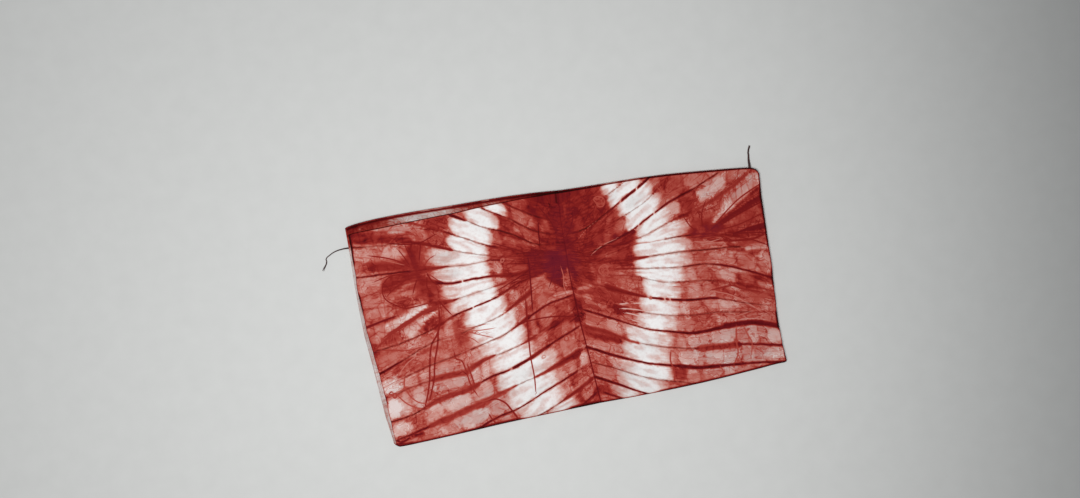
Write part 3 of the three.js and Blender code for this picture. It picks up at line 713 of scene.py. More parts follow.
# %% How much dye each place took
def oval_cover(x, y, px, py, reach_x, reach_y, turn):
    """How much of a turned oval covers each place, with a soft edge."""
    c, s = math.cos(math.radians(turn)), math.sin(math.radians(turn))
    u = ((x - px) * c + (y - py) * s) / reach_x
    v = ((y - py) * c - (x - px) * s) / reach_y
    return 1 - smooth_step(0.55, 1.25, np.hypot(u, v))


def tinted(x, y, ovals, start=0.0):
    """The strongest of the ovals that cover each place."""
    tint = np.full(len(x), start)
    for *oval, amount in ovals:
        tint = np.maximum(tint, amount * oval_cover(x, y, *oval))
    return tint


def dabbed(x, y):
    """The depth of dye from the patches and the strokes."""
    dye = np.full(len(x), BASE_DYE)
    for *oval, depth in PATCHES:
        dye += (depth - dye) * oval_cover(x, y, *oval)
    for start_x, start_y, start_width, end_x, end_y, end_width, depth in STROKES:
        step = np.array([end_x - start_x, end_y - start_y])
        share = np.clip(((x - start_x) * step[0] + (y - start_y) * step[1]) / (step @ step), 0, 1)
        away = np.hypot(x - start_x - step[0] * share, y - start_y - step[1] * share)
        cover = 1 - smooth_step(0.5, 1.3, 2 * away / (start_width + (end_width - start_width) * share))
        dye += (depth - dye) * cover
    return dye


# %% [markdown]
# ## Creases that cross the pleats
#
# The cloth was also folded and pressed after dyeing, which left creases that cross the pleats, dark
# ones where dye sits in them and pale ones where it was rubbed off. Each is drawn by hand through a few
# places, with its width at either end and its depth of dye. Each point of the cloth keeps only its
# nearest crease of a set, so there are two sets, and most creases that cross are in different ones.

# %% Creases drawn by hand
CREASES = {
    "first": [
        ([(-214, 77), (-238, 77), (-250, 70), (-255, 58), (-252, 46), (-240, 36), (-226, 29), (-198, 30)],
         1.4, 1.6, .86),
        ([(-290, 12), (-266, 17), (-243, 21)], 4, 1.2, 1),
        ([(-283, -22), (-262, -8), (-236, 8), (-214, 15)], 2.2, 2, .74),
        ([(-181, 24), (-184, 2), (-190, -14), (-201, -28), (-208, -52), (-213, -76), (-219, -95),
          (-228, -115)], 3, 1.8, .84),
        ([(-172, -42), (-171, -53), (-163, -58), (-160, -75), (-157, -95), (-151, -108)], 2.2, 1.6, .76),
        ([(-23, 113), (-25, 98), (-26, 84)], 1.4, 1.6, 1.08),
        ([(-60, 12), (-63, -16), (-66, -45), (-68, -70), (-68, -98), (-70, -119)], 2.2, 1.4, .86),
        ([(-138, -119), (-126, -119), (-115, -126), (-108, -138), (-101, -152)], 1.4, 2.8, .86),
        ([(-262, -88), (-250, -102), (-236, -111), (-224, -113)], 1.8, 1.8, .6),
        ([(30, 81), (42, 91), (58, 100)], 1.1, .8, .42),
        ([(212, 58), (245, 74), (292, 89)], 2.4, 4.6, .96),
        ([(200, -27), (222, -36), (240, -49), (257, -64)], 1.2, 1.6, .44),
        ([(222, -82), (219, -100), (218, -118), (211, -131)], 2.2, 1.8, .62),
        ([(126, -98), (123, -112), (126, -126), (123, -142)], 2, 2, .66),
        ([(205, 45), (236, 38), (268, 35), (291, 40)], 3, 3, .86),
        ([(-3, 44), (-2, 32), (-4, 20), (-3, 12)], 1.6, 1.2, .5),
        ([(26, 30), (30, 24), (36, 19)], 1.6, 1.4, .92),
        ([(145, -10), (166, -14), (176, -22)], 1.4, 1.2, .5),
        ([(-160, -12), (-142, -14), (-120, -13)], 1.2, .7, .56),
        ([(-158, -22), (-144, -29), (-136, -37)], 1.2, .7, .6),
        ([(70, -27), (82, -30), (97, -35)], 1.6, 1.4, .2),
        ([(80, -45), (90, -50), (98, -54)], 1.4, 1.4, .24),
        ([(-218, 89), (-238, 98), (-262, 107), (-285, 113)], 1, 1, .5),
        ([(-170, 122), (-190, 116), (-212, 117), (-236, 124)], 1.2, 1.4, .95),
        ([(170, -48), (184, -44), (190, -56)], 1.6, 1.4, .66),
        ([(-211, 88), (-216, 100), (-222, 111)], 1.8, .8, .88),
        ([(-196, 92), (-193, 103), (-190, 113)], 1.8, .9, .9),
        ([(-189, 72), (-184, 60), (-176, 52)], 2.2, 1.2, .9),
        ([(-180, 31), (-173, 20), (-166, 9)], 2.4, 1.4, .86),
        ([(-216, 70), (-236, 60), (-248, 52)], 2, .8, .84),
        ([(-188, 86), (-182, 91), (-175, 94)], 1.2, .8, .74),
        ([(222, 60), (256, 73), (291, 84)], 1.4, 2, .94),
        ([(232, 50), (260, 45), (290, 40)], 1.2, 1.6, .92),
        ([(184, 52), (206, 50), (226, 46), (238, 39)], 1, 1.2, .88),
        ([(196, 40), (214, 39), (232, 36)], .9, .9, .42),
        ([(-34, 58), (-60, 44), (-96, 30)], 1.6, .9, .98),
        ([(14, 74), (34, 84), (48, 96), (62, 101)], 1.6, 1, .98),
        ([(16, 54), (30, 47), (44, 42)], 1.6, .8, .98),
        ([(0, 92), (-6, 112), (-18, 134)], 1.4, 1, 1),
    ],
    "second": [
        ([(-264, 111), (-240, 103), (-222, 94), (-211, 85)], 1.6, 2, .82),
        ([(-264, -5), (-232, 7), (-206, 18), (-183, 24)], 5, 6, .74),
        ([(-283, -22), (-262, -24), (-236, -29), (-214, -28)], 1.8, 1.2, .66),
        ([(-187, -6), (-193, -30), (-201, -52), (-206, -74), (-212, -90), (-217, -102)], 2.6, 1.6, .84),
        ([(-157, -64), (-154, -80), (-152, -96)], 2, 2, .76),
        ([(-46, 67), (-47, 50), (-50, 22), (-53, -4)], 1.8, 1.6, 1.04),
        ([(-140, -138), (-137, -146), (-131, -155)], 2, 2, .8),
        ([(-80, -24), (-62, -20), (-30, -20), (4, -26)], 1.4, 1.8, .92),
        ([(-160, -16), (-146, -20), (-130, -27), (-116, -33)], 1.2, .7, .6),
        ([(66, -20), (82, -22), (98, -25)], 1.6, 1.4, .22),
        ([(74, -34), (86, -39), (98, -46)], 1.6, 1.6, .2),
        ([(-246, -64), (-249, -78), (-244, -92), (-234, -103), (-222, -107)], 2, 1.6, .6),
        ([(-160, -117), (-138, -118), (-127, -110), (-126, -98)], 1.6, 1.6, .6),
        ([(44, 56), (60, 65), (80, 70)], 1.2, 1, .42),
        ([(244, 47), (268, 50), (292, 51)], 1.5, 9, 1),
        ([(222, 67), (246, 85), (264, 96), (291, 108)], 1.6, 2, .8),
        ([(196, -25), (226, -24), (240, -31), (264, -40)], 2, 2.4, .78),
        ([(233, -84), (236, -96), (240, -108), (236, -124)], 1.8, 1.6, .58),
        ([(62, -18), (76, -24), (92, -22)], 1.4, 1.2, .54),
        ([(214, -68), (236, -66), (257, -62)], 1.2, 1.4, .46),
        ([(-275, -151), (-263, -153), (-251, -148), (-238, -147)], 2.6, 1.4, 1.08),
        ([(-262, -34), (-246, -30), (-228, -38), (-208, -44)], 1.2, 1.4, .46),
        ([(-252, -58), (-238, -46), (-222, -38)], 1.2, 1.4, .44),
        ([(-160, -12), (-140, -19), (-112, -21)], 1.6, .8, .5),
        ([(150, 130), (158, 120), (172, 118)], 1.4, 1.4, .56),
        ([(190, -132), (194, -142), (190, -150)], 1.6, 1.6, .6),
        ([(-206, 92), (-209, 104), (-212, 116)], 1.8, .8, .9),
        ([(-204, 66), (-209, 57), (-213, 48)], 2, 1, .88),
        ([(-214, 74), (-240, 78), (-262, 74)], 1.8, .8, .84),
        ([(-190, 66), (-192, 52), (-186, 38)], 2.2, 1.6, .86),
        ([(-184, 68), (-176, 60), (-168, 55)], 1.2, .8, .78),
        ([(224, 56), (252, 58), (290, 68)], 1.4, 1.2, .86),
        ([(238, 44), (262, 36), (288, 22)], 1.2, 1.4, .88),
        ([(202, 66), (204, 82), (212, 98)], 1.8, .8, .88),
        ([(192, 60), (184, 70), (178, 84)], 1.4, 1, .86),
        ([(186, 46), (206, 42), (222, 43)], .9, .9, .42),
        ([(-40, 70), (-62, 82), (-90, 96)], 1.6, .9, .96),
        ([(10, 84), (22, 100), (30, 122)], 1.6, 1, .98),
        ([(-10, 60), (-14, 40), (-24, 22)], 1.8, .9, 1.02),
        ([(20, 62), (48, 66), (84, 60)], 1.6, .9, .96),
    ],
}
print("creases:", {set_name: len(creases) for set_name, creases in CREASES.items()})

# %% Rings
# Small rings where a thread held a pinch of cloth: place, size and depth of dye.
RINGS = [
    (67, 126, 8, .56), (66, 126, 4.4, .6), (55, 30, 8, .54), (57, 28, 4, .56), (-82, 70, 3, .5),
    (-265, -88, 3.6, .66), (-270, -84, 2.6, .66), (-227, -122, 3.4, .52), (-268, -148, 3.4, .72),
    (-252, -150, 2.6, .62), (-50, -73, 2.8, .34), (-36, -103, 2.6, .34), (-14, -54, 3.6, .62),
    (-84, 105, 4, .6), (-8, 80, 3.6, .82), (80, -20, 3, .6), (172, -46, 3, .56), (30, -92, 4.4, .58),
    (-262, 151, 3, .6), (44, -112, 3, .5), (112, -20, 2, .5), (250, -64, 3, .66),
]
RING_SIDES = 10
RING_WIDTH = 1.5
CREASE_REACH = 6  # how far a crease's own marks reach from its line
CREASE_STEPS = 12  # pieces of a crease between two of its places
NO_CREASE = (12.0, 1.0, 0.6, 0.0)  # the distance, width, dye and hold where no crease is near
print(f"rings: {len(RINGS)}")


def ring_places(x, y, size):
    """The places of a slightly uneven ring."""
    turns = np.linspace(0, 2 * math.pi, RING_SIDES + 1)
    uneven = 1 + 0.22 * np.sin(2 * turns + x) + 0.12 * np.sin(3 * turns + y)
    return [(x + size * r * math.cos(a), y + 0.8 * size * r * math.sin(a)) for a, r in zip(turns, uneven)]


# %% How far each place lies from a crease
def crease_fields(x, y, creases):
    """How far each place lies from its nearest crease, signed, with that crease's width, dye and hold."""
    across = np.full(len(x), float(CREASE_REACH))
    width = np.ones(len(x))
    depth = np.full(len(x), 0.6)
    nearest = np.full(len(x), np.inf)
    for places, start_width, end_width, dye in creases:
        line = smooth_path(places, CREASE_STEPS * (len(places) - 1))
        low, high = line.min(axis=0) - 2 * CREASE_REACH, line.max(axis=0) + 2 * CREASE_REACH
        near = np.nonzero((x > low[0]) & (x < high[0]) & (y > low[1]) & (y < high[1]))[0]
        if not len(near):
            continue
        point = np.stack([x[near], y[near]], axis=1)[:, None]
        start, step = line[None, :-1], np.diff(line, axis=0)[None]
        t = np.clip(((point - start) * step).sum(axis=2) / (step**2).sum(axis=2), 0, 1)
        away = point - start - step * t[:, :, None]
        distance = np.linalg.norm(away, axis=2)
        best = distance.argmin(axis=1)
        row = np.arange(len(near))
        side = np.sign(step[0, best, 0] * away[row, best, 1] - step[0, best, 1] * away[row, best, 0])
        share = (best + t[row, best]) / len(step[0])
        closer = distance[row, best] < nearest[near]
        on = near[closer]
        nearest[on] = distance[row, best][closer]
        across[on] = (side * distance[row, best])[closer]
        tip = smooth_step(0, 0.12, share) * (1 - 0.7 * smooth_step(0.85, 1, share)) + 0.25
        width[on] = ((start_width + (end_width - start_width) * share) * np.minimum(tip, 1))[closer]
        depth[on] = dye
    hold = 1 - smooth_step(0.45 * CREASE_REACH, CREASE_REACH, nearest - width / 2)
    return np.clip(across, -12, 12), width, depth, hold


# %% [markdown]
# ## Relief
#
# Each pleat stands up a little between its two lines, less where the cloth is pressed: at the crease, in
# the knots and along the folded edges. Finer wrinkles run along the pleats. The relief is added to the
# cloth's own height, so that it shows from the side as well.

# %% Relief of the top layer
PLEAT_SPAN = 17  # a usual pleat's width, which turns pleat numbers into millimetres
PLEAT_HEIGHT = 1.5
FINE_HEIGHT = 0.45
EDGE_PRESS = 14  # the relief dies out over this distance from a fold
# Where the cloth is pressed flatter: place, size and how much.
PRESSED = [
    (CREASE_X, 0, 26, 400, .75), (-22, 52, 40, 30, .55), (-198, 78, 26, 24, .5), (208, 57, 26, 18, .5),
    (-286, -20, 20, 18, .5), (-265, 140, 40, 14, .5),
]


def relief(x, y, number, gap, station, creases):
    """How high the pleats, wrinkles and creases stand above the flat layer."""
    beside = np.minimum(number % 1, 1 - number % 1)
    away = beside * gap
    pillow = 1 - np.abs(2 * (number % 1) - 1) ** 2.4
    groove = 1 - np.exp(-away / 2.6)
    room = np.clip(gap / 24, 0.35, 1.25)
    puff = 0.8 + 0.45 * ripple(station, number * PLEAT_SPAN, 55, 9, 1.7)
    height = PLEAT_HEIGHT * room * puff * (0.6 * pillow + 0.4 * groove)
    for px, py, reach_x, reach_y, press in PRESSED:
        height *= 1 - press * np.exp(-(((x - px) / reach_x) ** 2) - ((y - py) / reach_y) ** 2)
    fine = ripple(station, number * PLEAT_SPAN, 16, 3.2, 5.1)
    fine += 0.6 * ripple(station, number * PLEAT_SPAN, 6, 6, 8.3)
    cross = ripple(x + 0.4 * y, y, 7, 26, 12.9)
    height += FINE_HEIGHT * (0.5 + 0.5 * fine) * smooth_step(0, 5, away) + 0.2 * (1 + cross)
    # Each crease is a groove between two low banks, and the one in the middle runs along a ridge.
    for across, width, _, hold in creases:
        height += 0.7 * hold * (1 - np.exp(-((across / (1.2 + width / 2)) ** 2))) - 0.5 * hold
    offset, _ = from_crease(x, y)
    height += 0.55 * np.exp(-((offset / 6) ** 2)) - 0.75 * np.exp(-((offset / 1.6) ** 2))
    return np.maximum(height, 0)


# %% [markdown]
# ## Cutting and folding the cloth
#
# The cloth is laid out flat at its cut size, as a grid. Its columns lie closer where the width is
# doubled over, its rows where the length is folded, and the panel that will lie on top is subdivided
# into much finer faces. Then every point is carried to its place in the stack: along the straight
# layers, round the folds, and round the hairpin at the right where the two plies meet. A cloth
# simulation could fold it too, but sixteen plies a third of a millimetre thick pass through each
# other long before they come to rest, so the folding is worked out.

# %% Sizes of the flat cloth
PLY_WIDTH = 569.0  # from the selvedges to the folded side
HAIRPIN = math.pi * PLY_REACH
# Where the columns of points lie on the first ply and on the second, as shares of a ply's width.
COLUMN_SHARES = np.concatenate([
    [0, .006, .014, .024], np.linspace(.036, .964, 75), [.973, .981, .988, .993, .997, 1],
])
UNDER_SHARES = np.concatenate([[.988, .97], np.linspace(.95, .03, 32), [.01, 0]])
HAIRPIN_STEPS = 4
TOP_ROWS = 42
PANEL_ROWS = 8
FOLD_ROWS = {7: 9, 5: 8, 3: 7, 1: 6}  # rows of a fold, by the number of levels it spans
FINE_CUTS = 2  # each face of the top panel is cut this many times each way
print(f"width: two plies of {PLY_WIDTH:.0f} mm and {HAIRPIN:.2f} mm round the hairpin between them")

# %% Work out the columns and rows
columns = np.concatenate([
    COLUMN_SHARES * PLY_WIDTH,
    PLY_WIDTH + HAIRPIN * np.arange(1, HAIRPIN_STEPS + 1) / HAIRPIN_STEPS,
    PLY_WIDTH + HAIRPIN + (1 - UNDER_SHARES) * PLY_WIDTH,
])
stretches = []  # the strip's straight panels and its folds, in turn
rows = [0.0]
middle_of_stack = np.linspace(0, 1, 41)
for i in range(len(TURNS) - 1):
    start, end = turn_place(TURNS[i], middle_of_stack), turn_place(TURNS[i + 1], middle_of_stack)
    stretches.append(("panel", i, rows[-1]))
    steps = TOP_ROWS if i == 0 else PANEL_ROWS
    rows += list(rows[-1] + np.abs(end - start).mean() * np.arange(1, steps + 1) / steps)
    comes, leaves = TURNS[i + 1][:2]
    if leaves is not None:
        stretches.append(("fold", i + 1, rows[-1]))
        steps = FOLD_ROWS[abs(comes - leaves)]
        rows += list(rows[-1] + math.pi * fold_radius(comes, leaves) * np.arange(1, steps + 1) / steps)
rows = np.array(rows)
stretch_starts = np.array([start for _, _, start in stretches] + [rows[-1]])
FLAT = (columns[-1] * MM, rows[-1] * MM)
print(f"cut size: {FLAT[0]:.3f} by {FLAT[1]:.3f} m, {len(columns)} columns and {len(rows)} rows")

# %% Lay the cloth out flat
bpy.ops.object.select_all(action="DESELECT")
bpy.ops.mesh.primitive_grid_add(x_subdivisions=len(columns) - 1, y_subdivisions=len(rows) - 1, size=1)
cloth = bpy.context.object
cloth.name = "folded_cloth"


def vertices_of(mesh):
    places = np.empty(len(mesh.vertices) * 3)
    mesh.vertices.foreach_get("co", places)
    return places.reshape(-1, 3)


def move_vertices(mesh, places):
    mesh.vertices.foreach_set("co", places.ravel())
    mesh.update()


def corner_points(mesh):
    """The point at each corner of each face."""
    points = np.empty(len(mesh.loops), int)
    mesh.loops.foreach_get("vertex_index", points)
    return points


flat = vertices_of(cloth.data)
column = np.rint((flat[:, 0] + 0.5) * (len(columns) - 1)).astype(int)
row = np.rint((flat[:, 1] + 0.5) * (len(rows) - 1)).astype(int)
move_vertices(cloth.data, np.stack([columns[column], rows[row], 0 * flat[:, 0]], axis=1) * MM)
print(f"grid: {len(flat)} points")

# %% Subdivide the panel that will lie on top
bpy.ops.object.mode_set(mode="EDIT")
bpy.ops.mesh.select_mode(type="FACE")
bpy.ops.mesh.select_all(action="DESELECT")
bpy.ops.object.mode_set(mode="OBJECT")
top_end = float(stretch_starts[1]) * MM
for face in cloth.data.polygons:
    face.select = face.center.x < PLY_WIDTH * MM and face.center.y < top_end
bpy.ops.object.mode_set(mode="EDIT")
bpy.ops.mesh.subdivide(number_cuts=FINE_CUTS)
bpy.ops.object.mode_set(mode="OBJECT")
print(f"flat cloth: {len(cloth.data.vertices)} points, {len(cloth.data.polygons)} faces")

# %% Where each point of the cloth goes
# First across the cloth, from its selvedges over the hairpin and back, and then along it, through the
# panels and folds of the strip in turn.
FREE_PRESS = 0.6  # the share of the relief that a cut end keeps
FAR = 99.0  # stands for a distance from an edge that is nowhere near

flat = vertices_of(cloth.data) / MM
p, s = flat[:, 0], flat[:, 1]
turned = np.clip((p - PLY_WIDTH) / HAIRPIN, 0, 1) * math.pi  # 0 on the first ply, pi on the second
along = np.where(turned < math.pi, p / PLY_WIDTH, 1 - (p - PLY_WIDTH - HAIRPIN) / PLY_WIDTH)
along = np.clip(along, 0, 1)
ply_side = PLY_REACH * np.cos(turned)
back, front, air = [np.interp(along, ALONG, edge_line) for edge_line in (BACK, FRONT, AIR)]

# For each point: where it lies in y and z, the way the cloth runs there, how much of the peek applies
# to it, and the share of the relief that it takes.
y, z, run_y, run_z, peek, raised = np.zeros((6, len(p)))
level = np.ones(len(p))
free = np.full(len(p), FAR)  # how far a point lies from the cut ends and the folds at the back
which = np.clip(np.searchsorted(stretch_starts, s, side="right") - 1, 0, len(stretches) - 1)
for i, (kind, turn_index, start) in enumerate(stretches):
    on = which == i
    share = (s[on] - start) / (stretch_starts[i + 1] - start)
    comes, leaves, side, _, turn_peek = TURNS[turn_index]
    here = turn_place(TURNS[turn_index], along[on])
    if kind == "panel":
        _, next_leaves, _, _, next_peek = TURNS[turn_index + 1]
        there = turn_place(TURNS[turn_index + 1], along[on])
        length = np.abs(there - here)
        y[on] = here + (there - here) * share
        z[on] = LAYER / 2 + (LEVELS - leaves) * (PITCH + air[on] * 4 * share * (1 - share))
        run_y[on] = -side
        peek[on] = turn_peek + (next_peek - turn_peek) * share
        level[on] = leaves
        press_start = smooth_step(0, EDGE_PRESS, share * length)
        press_end = smooth_step(0, EDGE_PRESS, (1 - share) * length)
        if comes is None:
            press_start = FREE_PRESS + (1 - FREE_PRESS) * press_start
            free[on] = share * length
        if next_leaves is None:
            press_end = FREE_PRESS + (1 - FREE_PRESS) * press_end
            free[on] = (1 - share) * length
        raised[on] = press_start * press_end
    else:
        radius = fold_radius(comes, leaves)
        angle = math.pi * share
        upward = 1 if comes > leaves else -1
        y[on] = here + side * radius * np.sin(angle)
        z[on] = LAYER / 2 + (LEVELS - (comes + leaves) / 2) * PITCH - upward * radius * np.cos(angle)
        run_y[on] = side * np.cos(angle)
        run_z[on] = upward * np.sin(angle)
        peek[on] = turn_peek
        level[on] = comes + (leaves - comes) * share
        if side > 0:
            free[on] = np.abs(share - 0.5) * math.pi * radius
print(f"strip: {len(TURNS) - 1} panels and {len(stretches) - len(TURNS) + 1} folds")

# %% Which side of the stack each point is on
across = np.clip((y - back) / (front - back), 0, 1)
left = np.interp(across, ACROSS, LEFT) - peek * np.interp(across, ACROSS, PEEK)
right = np.interp(across, ACROSS, RIGHT) - PLY_REACH - PLY / 2
x = left + (right - left) * along + PLY_REACH * np.sin(turned)
higher = -np.cos(turned) * run_y  # 1 on the upper ply of a level and -1 on its lower one
order = 2 * (level - 1) + (1 - higher) / 2  # 0 on the top ply and 15 on the bottom one
top_level = level < 1.01
on_top = top_level & (higher > 0.99)
print(f"top panel: {on_top.sum()} points")
print(f"stack: x {x.min():.1f} to {x.max():.1f}, y {y.min():.1f} to {y.max():.1f}")

# %% Read the pattern at each point
# The dye kept only roughly to the pleats, so its places wander a few millimetres.
number, gap, station = pleat_number(x, y)
offset, _ = from_crease(x, y)
drift = station + 2.6 * ripple(x, y, 17, 13, 4.4) + 1.6 * ripple(x, y, 7, 6, 2.9)
sway = number + 0.07 * ripple(x, y, 14, 10, 6.1)
bare = white_reach(number, gap, station + 0.6 * (drift - station))
pool, pool_dye = pool_fields(sway, gap, drift)
ink_width, ink, ink_dye = line_ink(number, station)
dye = dabbed(x + 1.5 * ripple(x, y, 12, 12, 7.5), y + 1.1 * ripple(x, y, 14, 10, 3.8))
purple, grey_wear_and_shade, calm = tinted(x, y, PURPLE), tinted(x, y, GREY_OF_WEAR_AND_SHADE, LEAST_GREY), tinted(x, y, CALM, LEAST_CALM)

ring_creases = [(ring_places(*place), RING_WIDTH, RING_WIDTH, ring_dye) for *place, ring_dye in RINGS]
crease_sets = {}
for set_name, creases in CREASES.items():
    fields = [np.full(len(x), value) for value in NO_CREASE]
    listed = creases + (ring_creases if set_name == "second" else [])
    for field, values in zip(fields, crease_fields(x[on_top], y[on_top], listed)):
        field[on_top] = values
    crease_sets[set_name] = fields
print(f"white: {(bare > 0).sum()} points, pools: {(pool > 0).sum()} points")

# %% Fold it
TAKE = ((0, 1, 2, 15), (1, .35, .3, 0))  # how much of the relief the plies take, from top to bottom
height = relief(x, y, number, gap, station, crease_sets.values())
take = np.interp(order, *TAKE) * raised
wander = ripple(y + 40 * level, level * 9 + turned, 23, 3, 3.3)  # no layer ends quite straight
x = x + 0.9 * wander * (1 - smooth_step(0, 0.08, along))
places = np.stack([x, y + ply_side * run_z, z - ply_side * run_y + take * height], axis=1)
move_vertices(cloth.data, places * MM)
print(f"folded: {places.min(axis=0).round(1)} to {places.max(axis=0).round(1)} mm")

# %% [markdown]
# ## Dark edges and the layer behind
#
# The edges are painted dark: partly for dye that gathers where a cloth is folded or cut, and partly as
# painted shade where the layers part and the folds turn away, thickly so at the back. Under the top
# layer a strip of the next one shows, dark at the left and white where its own band crosses, and
# greyed as painted shade. At the left end the lower layers stayed pale, but for a few stains, and are
# greyed as painted shade under the top layer's edge.

# %% Dark edges
# Each side of the top layer, in stretches: from, to, how wide the dark is and how deep. The dark is
# partly dye gathered at the edge and partly painted shade where the layers part and the folds turn away.
EDGES = {
    "back": [(-290, -125, 1.5, .95), (-125, -24, 1.5, .9), (-24, 76, 2.4, 1), (76, 142, 1.6, .85),
             (142, 294, 2.2, 1)],
    "front": [(-278, -250, 6, .95), (-250, -178, 4.4, .85), (-178, -95, 5.5, .95), (-95, -30, 3, .6),
              (-30, 18, 6, 1), (18, 50, 4, .9), (50, 100, 3, .6), (100, 284, 4.6, .9)],
    "left": [(-162, -36, 1.1, .35), (-36, 34, 1, .4), (34, 62, 2.4, .9), (62, 102, 1, .45),
             (102, 147, 3, .95)],
    "right": [(-146, -128, 1.6, .8), (-128, -96, 1, .45), (-96, -70, 3.2, .95), (-70, -36, 1.1, .5),
              (-36, -12, 2.8, .9), (-12, 20, 1.4, .6), (20, 60, 2.6, .9), (60, 102, 3.2, .95),
              (102, 134, 1.6, .8)],
}
EDGE_CHANGE = 3  # where two stretches meet, the edge changes over twice this length
NO_EDGE = 10.0  # stands for a place with no dark edge near
print(f"dark edges: {sum(len(listed) for listed in EDGES.values())} stretches")


# %% How near a dark edge is
def edge_fields(x, y, away):
    """How far each place lies from its nearest dark edge, in widths of that edge, and how deep it is."""
    nearest, deep = np.full(len(x), NO_EDGE), np.zeros(len(x))
    for side, stretches in EDGES.items():
        at = x if side in ("back", "front") else y
        ends = [(start + EDGE_CHANGE, end - EDGE_CHANGE) for start, end, *_ in stretches]
        stops = sorted({stop for pair in ends for stop in pair})
        found = [next(row for row in stretches if row[0] <= stop <= row[1]) for stop in stops]
        share = away[side] / np.interp(at, stops, [width for _, _, width, _ in found])
        closer = share < nearest
        nearest[closer] = share[closer]
        deep[closer] = np.interp(at, stops, [ink for _, _, _, ink in found])[closer]
    return nearest, deep


# The dark fades down the folds at the front and the side at the right, so lower levels count as further.
away = {
    "back": free,
    "front": np.maximum(y - front, 0) + 1.2 * np.maximum(level - 4.6, 0),
    "left": np.where(top_level, along * PLY_WIDTH, FAR),
    "right": (1 - along) * PLY_WIDTH + 1.6 * (level - 1) ** 2,
}
edge, edge_dye_and_shade = edge_fields(x, y, away)
# How many levels down the side a point is, because the dark grows weaker there too.
sink = np.where(y < front + 6, level - 2.8, level)
edge_dye_and_shade = edge_dye_and_shade * (1 - 0.55 * smooth_step(1.3, 3.2, sink))
print(f"dark edges: {(edge < 1).sum()} points")

# %% The layer behind and the pale ends at the left
# STRIP is what shows behind the top layer: places along it, and the depth of dye at each.
NO_WHITE = -12
STRIP_Y = 154  # the middle of that strip, whose marks lean a little
STRIP = [(-290, .84), (-272, .88), (-263, .5), (-252, .84), (-240, .9), (-231, .4), (-222, .5), (-214, .2),
         (-206, 0), (-150, -.04), (-138, .2), (-122, .6), (-100, .62), (-86, .36), (-70, .56), (-40, .8),
         (0, .9)]
behind = (level > 1.5) & (level < 2.5) & (y > 120)
dye[behind] = np.interp(x + 0.8 * (y - STRIP_Y), *zip(*STRIP))[behind]
bare[behind] = NO_WHITE
pool[behind] = NO_POOL
ink[behind] = 0
# The strip lies in the top layer's shade, so it is greyed all over as painted shade.
grey_wear_and_shade[behind] = 1

low_left = (1 - smooth_step(0.03, 0.06, along)) * smooth_step(1, 1.3, level)
low_left *= 1 - smooth_step(126, 152, y + 7 * ripple(x, y, 7, 5, 2.2))
stained = 0.10 + 0.30 * smooth_step(0.1, 0.6, ripple(level * 4, y, 3, 16, 9.2))
stained += 0.10 * ripple(x, y, 5, 9, 6.6)
dye += (stained - dye) * low_left
# The pale ends are greyed as painted shade under the top layer's edge.
grey_wear_and_shade = np.maximum(grey_wear_and_shade, low_left)
for field, none in ((bare, NO_WHITE), (pool, NO_POOL), (ink, 0)):
    field += (none - field) * smooth_step(0.2, 0.6, low_left)
print(f"behind: {behind.sum()} points, pale ends: {(low_left > 0.5).sum()} points")

# %% Keep what the dye needs on the cloth
MIDDLE_WIDTH = 0.8  # of the crease in the middle
MIDDLE_INK = ((-40, 20, 60, 110, 150), (0.8, 0.7, 0.45, 0.3, 0.5))  # how strongly it shows, front to back
marks = {
    "pleat": number, "gap": gap, "station": station, "bare": bare, "dye": dye, "calm": calm,
    "pool": pool, "pool_dye": pool_dye, "ink_width": ink_width, "ink": ink, "ink_dye": ink_dye,
    "purple": purple, "grey_wear_and_shade": grey_wear_and_shade, "edge": edge, "edge_dye_and_shade": edge_dye_and_shade,
    "middle": offset / MIDDLE_WIDTH, "middle_ink": np.interp(y, *MIDDLE_INK),
}
for set_name, fields in crease_sets.items():
    for field_name, values in zip(("away", "width", "dye", "hold"), fields):
        marks[f"{set_name}_{field_name}"] = values
for mark_name, values in marks.items():
    attribute = cloth.data.attributes.new(mark_name, "FLOAT", "POINT")
    attribute.data.foreach_set("value", np.asarray(values, np.float32))
cut_map = cloth.data.uv_layers.new(name="Cut")
cut_places = flat[corner_points(cloth.data), :2] * MM
cut_map.data.foreach_set("uv", cut_places.astype(np.float32).ravel())
for layer in [layer for layer in cloth.data.uv_layers if layer.name != "Cut"]:
    cloth.data.uv_layers.remove(layer)
print(f"marks: {len(marks)} on each point")

# %% Give it its thickness
flat_points, flat_faces = len(cloth.data.vertices), len(cloth.data.polygons)
solidify = cloth.modifiers.new("thickness", "SOLIDIFY")
solidify.thickness = PLY * MM
solidify.offset = 0
bpy.context.view_layer.objects.active = cloth
bpy.ops.object.modifier_apply(modifier="thickness")
bpy.ops.object.shade_smooth()
triangles = sum(len(face.vertices) - 2 for face in cloth.data.polygons)
print(f"thick cloth: {len(cloth.data.polygons)} faces, {triangles} triangles")

# %% [markdown]
# ## Maps
#
# The dye is worked out from the marks on the points, so it needs no picture. A second map lays every
# face of the cloth on a square of its own, for programs that want the finish as a picture: the top
# panel takes more than half of it, because that is the side that shows.

# %% Lay the faces on a square
TOP_ROOM = (0.45, 0.995)  # the share of the square's height for each group
OUTSIDE_ROOM = (0.23, 0.44)
INSIDE_ROOM = (0.01, 0.22)
SIDE_ROOM = (0.005, 0.995)  # the share of its width for all
RIM_ROOM = 0.004

